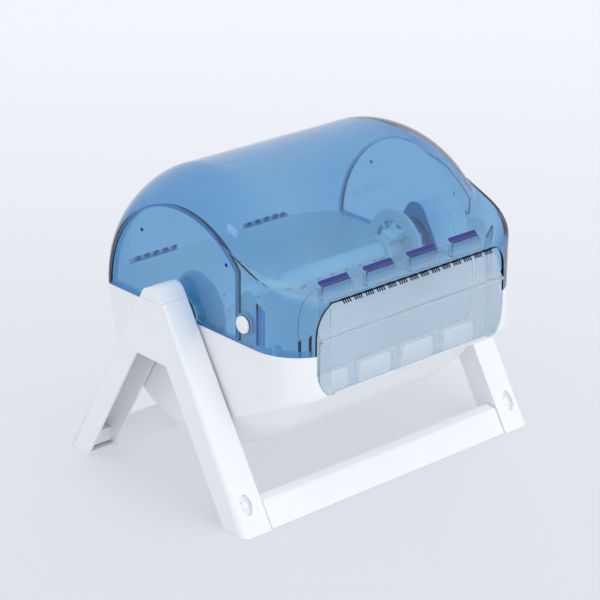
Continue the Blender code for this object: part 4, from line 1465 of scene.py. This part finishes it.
@dataclass
class SideStand(EndPiece):
    """One A-shaped stand, hollow from inside, with its apex cap."""

    half_depth: float = 172.5 * MM
    slope: float = 0.6125
    apex_radius: float = 17.0 * MM
    wall: float = 3.0 * MM
    web: float = 4.0 * MM
    floor: float = 0.4 * MM
    seam: float = 250.0 * MM
    window_top: float = 175.0 * MM
    window_half: float = 27.9 * MM
    window_slope: float = 0.629
    screw_x: float = 221.6 * MM
    screw_z: float = 33.0 * MM
    outer_round: float = 9.0 * MM
    inner_round: float = 2.5 * MM

    @property
    def inner(self) -> float:
        """Distance of the inner face from the middle."""
        return 198.0 * MM

    @property
    def outer(self) -> float:
        """Distance of the outer face from the middle."""
        return max(abs(corner.x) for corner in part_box(self.hand.label + "_side_stand"))

    def across(self, near: float, far: float) -> list[float]:
        """Two distances from the middle, as X values in order."""
        return sorted((self.hand.value * near, self.hand.value * far))

    def outline(self, inset: float = 0.0, floor: float | None = None) -> list[Point2]:
        """Outline of the A.

        Args:
            inset: How far it is moved inwards.
            floor: Height of its lower edge.

        Returns:
            (y, z) points, with a round apex.
        """
        base = self.floor if floor is None else floor
        tilt = math.atan(self.slope)
        centre = (0, self.half_depth / self.slope - self.apex_radius / math.sin(tilt))
        turn = 90 - math.degrees(tilt)
        foot = self.half_depth - self.slope * base - inset / math.cos(tilt)
        cap = arc(centre, self.apex_radius - inset, 90 - turn, 90 + turn, 20)
        return [(-foot, base), (foot, base), *cap]

    def blank(self, name: str) -> bpy.types.Object:
        """Makes the whole A with its long edges rounded.

        Args:
            name: Name of the object.

        Returns:
            The solid A.
        """
        maker = bmesh.new()
        ends = self.across(self.inner, self.outer)
        self.bench.fill_prism(maker, self.outline(), "X", *ends)
        for reach, width, steps in ((self.outer, self.outer_round, 7), (self.inner, self.inner_round, 3)):
            edge = [
                e
                for e in maker.edges
                if all(abs(abs(v.co.x) - reach) < 1e-6 for v in e.verts)
                and not all(v.co.z < self.floor + 1e-6 for v in e.verts)
            ]
            bmesh.ops.bevel(
                maker, geom=edge, offset=width, segments=steps, profile=0.5, affect="EDGES", clamp_overlap=False
            )
        return self.bench.add(name, maker, self.finish)

    def leg_point(self, front: bool) -> tuple[Vector, Vector, Vector]:
        """Place of a crossbar screw on a leg's sloping face.

        Args:
            front: Whether it is the front leg.

        Returns:
            The point, the way into the leg, and the way up along it.
        """
        tilt = math.atan(self.slope)
        sign = 1 if front else -1
        reach = self.half_depth - self.slope * self.screw_z
        point = Vector((self.hand.value * self.screw_x, -sign * reach, self.screw_z))
        inward = Vector((0, sign * math.cos(tilt), -math.sin(tilt)))
        return point, inward, Vector((0, sign * math.sin(tilt), math.cos(tilt)))

    def oval(self, name: str, front: bool, start: float, end: float, half: Point2) -> bpy.types.Object:
        """Makes an oval bar square to a leg's face.

        Args:
            name: Name of the object.
            front: Whether it is for the front leg.
            start: Depth at which it starts.
            end: Depth at which it ends.
            half: Half of its width and of its height.

        Returns:
            The bar.
        """
        point, inward, along = self.leg_point(front)
        maker = bmesh.new()
        rings = []
        for depth in (start, end):
            turns = [2 * math.pi * step / 48 for step in range(48)]
            ring = [
                maker.verts.new(
                    point + inward * depth + Vector((1, 0, 0)) * half[0] * math.cos(t) + along * half[1] * math.sin(t)
                )
                for t in turns
            ]
            rings.append(ring)
            maker.faces.new(ring)
        for index in range(48):
            after = (index + 1) % 48
            maker.faces.new((rings[0][index], rings[0][after], rings[1][after], rings[1][index]))
        return self.bench.add(name, maker, self.finish)

    def build(self) -> bpy.types.Object:
        """Makes the stand and its cap.

        Returns:
            The finished stand, riding on its body.
        """
        made = self.blank(self.hand.label + "_stand_moulding")
        low = self.window_half + self.window_slope * self.window_top
        window = [(-low, 0), (low, 0), (self.window_half, self.window_top), (-self.window_half, self.window_top)]
        window = [(y, z - (0.01 if z == 0 else 0)) for y, z in window]
        hollow = self.outline(self.web, 5 * MM)
        inside = self.across(self.inner + self.wall, self.outer - self.wall)
        steps = [
            ("DIFFERENCE", self.bench.prism("hollow", hollow, "X", *inside, self.finish)),
            ("DIFFERENCE", self.bench.prism("window", window, "X", *self.across(0.15, 0.3), self.finish)),
            ("DIFFERENCE", self.bench.box("trim", (-0.3, -0.1, self.seam), (0.3, 0.1, 0.4), self.finish)),
        ]
        for front in (True, False):
            steps.append(("UNION", self.oval("boss", front, 2 * MM, 9.5 * MM, (10 * MM, 15.5 * MM))))
            steps.append(("DIFFERENCE", self.oval("recess", front, -5 * MM, 5.6 * MM, (7.6 * MM, 13.5 * MM))))
        carve(made, steps)
        cap = self.blank(self.hand.label + "_cap_moulding")
        above = self.bench.box("trim", (-0.3, -0.1, self.seam + 0.3 * MM), (0.3, 0.1, 0.4), self.finish)
        carve(cap, [("INTERSECT", above)])
        for piece, node in ((made, "_side_stand"), (cap, "_apex_cap")):
            settle(piece, "base", self.hand.label + node, 30)
        return made


# ---- Solids that keep their meshes ----


class PackedSolids:
    """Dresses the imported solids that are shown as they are."""

    def __init__(self, finishes: Finishes) -> None:
        """Keeps the finishes.

        Args:
            finishes: Every finish.
        """
        self.finish_of = {
            "tray_white": finishes.tray, "stand_white": finishes.stand, "latch_white": finishes.latch,
            "hood_blue": finishes.hood, "guard_clear": finishes.guard, "nylon_grey": finishes.nylon,
            "steel": finishes.steel, "pad_rubber": finishes.rubber,
        }
        self.edge_of = {"stand_white": 0.8, "steel": 0.2}

    def dress(self) -> None:
        """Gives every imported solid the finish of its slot, and smooths it."""
        slots = {row["node"]: row["material_slot"] for row in frame["record"]["subparts"]}
        for name, node in frame["nodes"].items():
            node.data.materials.clear()
            node.data.materials.append(self.finish_of[slots[name]])
            for layer in [a.name for a in node.data.attributes if a.name == "custom_normal"]:
                node.data.attributes.remove(node.data.attributes[layer])
            node.data.shade_smooth()
            weld = node.modifiers.new("weld", "WELD")
            weld.merge_threshold = 0.01 * MM
            flat = node.modifiers.new("flat faces", "DECIMATE")
            flat.decimate_type = "DISSOLVE"
            flat.angle_limit = math.radians(0.5)
            round_edges(node, self.edge_of.get(slots[name], 0.4) * MM, 2, 35)
            node.modifiers.new("even shading", "WEIGHTED_NORMAL").keep_sharp = True
            LOG.info("dressed %s", name)


# ---- Studio ----


@dataclass(frozen=True)
class Studio:
    """The pale sweep, the lights and the camera.

    Attributes:
        azimuth: Camera's direction in degrees, 0 looking along +Y.
        elevation: Its height above the horizon, in degrees.
        roll: Its lean, in degrees.
        distance: How far it stands from what it aims at.
        aim: What it aims at.
        lens: Its focal length in mm.
    """

    azimuth: float = -41.93
    elevation: float = 22.41
    roll: float = 0.274
    distance: float = 2.956
    aim: tuple[float, float, float] = (0.0, 0.0129, 0.1850)
    lens: float = 141.84

    def camera(self) -> None:
        """Makes the camera and hands it to the scene."""
        azimuth, elevation, roll = (math.radians(v) for v in (self.azimuth, self.elevation, self.roll))
        back = Vector(
            (
                math.sin(azimuth) * math.cos(elevation), -math.cos(azimuth) * math.cos(elevation),
                math.sin(elevation),
            )
        )
        right = Vector((math.cos(azimuth), math.sin(azimuth), 0))
        up = back.cross(right)
        across = right * math.cos(roll) + up * math.sin(roll)
        upward = up * math.cos(roll) - right * math.sin(roll)
        turn = Matrix((across, upward, back)).transposed().to_4x4()
        data = bpy.data.cameras.new("camera")
        data.lens = self.lens
        made = bpy.data.objects.new("camera", data)
        made.matrix_world = Matrix.Translation(Vector(self.aim) + back * self.distance) @ turn
        bpy.context.scene.collection.objects.link(made)
        bpy.context.scene.camera = made

    def sweep(self) -> None:
        """Makes the floor, which curves up into a backdrop."""
        # Opal acrylic with a painted glow and no lamp under it: pale, growing stronger towards the back, so that
        # shadows on it stay faint
        made, tree, output = blank_material("lit_acrylic_table")
        place = add_node(tree, "ShaderNodeTexCoord").outputs["Object"]
        depth = add_node(tree, "ShaderNodeSeparateXYZ", Vector=place).outputs["Y"]
        glow = add_node(tree, "ShaderNodeMapRange", Value=depth, From_Min=-0.4, From_Max=1.9, To_Min=0.39, To_Max=0.56)
        grain = add_node(tree, "ShaderNodeTexNoise", Vector=place, Scale=1 / (3 * MM), Detail=3.0)
        bump = add_node(tree, "ShaderNodeBump", Strength=0.1, Distance=0.05 * MM, Height=grain.outputs["Fac"])
        shader = add_node(
            tree, "ShaderNodeBsdfPrincipled", Base_Color=linear("#A2A3A8"), Roughness=0.7,
            Normal=bump.outputs["Normal"], Emission_Color=linear("#F6F8FD"),
            Emission_Strength=glow.outputs["Result"],
        )
        tree.links.new(shader.outputs[0], output.inputs["Surface"])
        maker = bmesh.new()
        radius = 2.0
        path = [(-9.0, 0.0), (3.0, 0.0)]
        turns = [step * math.pi / 32 for step in range(1, 17)]
        path += [(3.0 + radius * math.sin(t), radius * (1 - math.cos(t))) for t in turns]
        path += [(3.0 + radius, 8.0)]
        rows = [[maker.verts.new((x, y, z)) for y, z in path] for x in (-9.0, 9.0)]
        for index in range(len(path) - 1):
            maker.faces.new((rows[0][index], rows[1][index], rows[1][index + 1], rows[0][index + 1]))
        mesh = bpy.data.meshes.new("sweep")
        maker.to_mesh(mesh)
        maker.free()
        mesh.materials.append(made)
        mesh.shade_smooth()
        floor = bpy.data.objects.new("sweep", mesh)
        floor.rotation_euler = (0, 0, math.radians(self.azimuth))
        bpy.context.scene.collection.objects.link(floor)

    @staticmethod
    def softbox(name: str, place: Sequence[float], size: Point2, watts: float, mirrored: bool = False) -> None:
        """Adds an area light that faces the dispenser.

        Args:
            name: Name of the light.
            place: Where it hangs.
            size: Width and height.
            watts: Power.
            mirrored: Whether glossy surfaces show its shape.
        """
        data = bpy.data.lights.new(name, "AREA")
        data.shape = "RECTANGLE"
        data.size, data.size_y = size
        data.energy = watts
        made = bpy.data.objects.new(name, data)
        made.location = place
        made.rotation_mode = "QUATERNION"
        made.rotation_quaternion = (Vector(place) - Vector((0, 0, 0.2))).to_track_quat("Z", "Y")
        made.visible_glossy = mirrored
        bpy.context.scene.collection.objects.link(made)

    def lights(self) -> None:
        """Makes the soft studio light."""
        world = bpy.data.worlds.new("studio")
        bpy.context.scene.world = world
        world.use_nodes = True
        tree = world.node_tree
        tree.nodes.clear()
        place = add_node(tree, "ShaderNodeTexCoord").outputs["Generated"]
        height = add_node(tree, "ShaderNodeSeparateXYZ", Vector=place).outputs["Z"]
        glow = add_node(tree, "ShaderNodeMapRange", Value=height, From_Min=0.0, From_Max=1.0, To_Min=0.9, To_Max=1.05)
        sky = add_node(tree, "ShaderNodeBackground", Color=linear("#F6F8FC"), Strength=glow.outputs["Result"])
        output = add_node(tree, "ShaderNodeOutputWorld")
        tree.links.new(sky.outputs[0], output.inputs["Surface"])
        self.softbox("overhead", (0.3, -0.5, 2.8), (2.6, 2.6), 5)
        self.softbox("front", (0.2, -2.9, 1.3), (1.8, 1.8), 17)
        self.softbox("key", (-1.6, -0.2, 2.5), (0.5, 0.5), 1.2, mirrored=True)

    def build(self) -> None:
        """Makes the whole studio."""
        self.camera()
        self.sweep()
        self.lights()
        bpy.context.scene.view_settings.view_transform = "Standard"
        bpy.context.scene.view_settings.look = "None"


def main() -> None:
    """Builds every piece, then the studio."""
    logging.basicConfig(level=logging.INFO, format="%(name)s: %(message)s")
    layout = Layout.read()
    finishes = Finishes()
    bench = Bench(layout.setback)
    PackedSolids(finishes).dress()
    for part in (
        Tray(layout, bench, finishes.tray, Side.TRAY, finishes.tray, finishes.tray),
        Hood(layout, bench, finishes.hood, Side.HOOD, finishes.hood_edge_shade, finishes.hood_thick_shade),
        TearGuard(layout, bench, finishes.guard, finishes.frosted),
        *(RollPlug(layout, bench, finishes.nylon, hand) for hand in Hand),
        SpindleBeam(layout, bench, finishes.nylon),
        *(LatchButton(layout, bench, finishes.latch, hand) for hand in Hand),
        *(SideStand(layout, bench, finishes.stand, hand) for hand in Hand),
    ):
        made = part.build()
        LOG.info("built %s with %d faces", made.name, len(made.data.polygons))
    Studio().build()


if __name__ == "__main__":
    main()
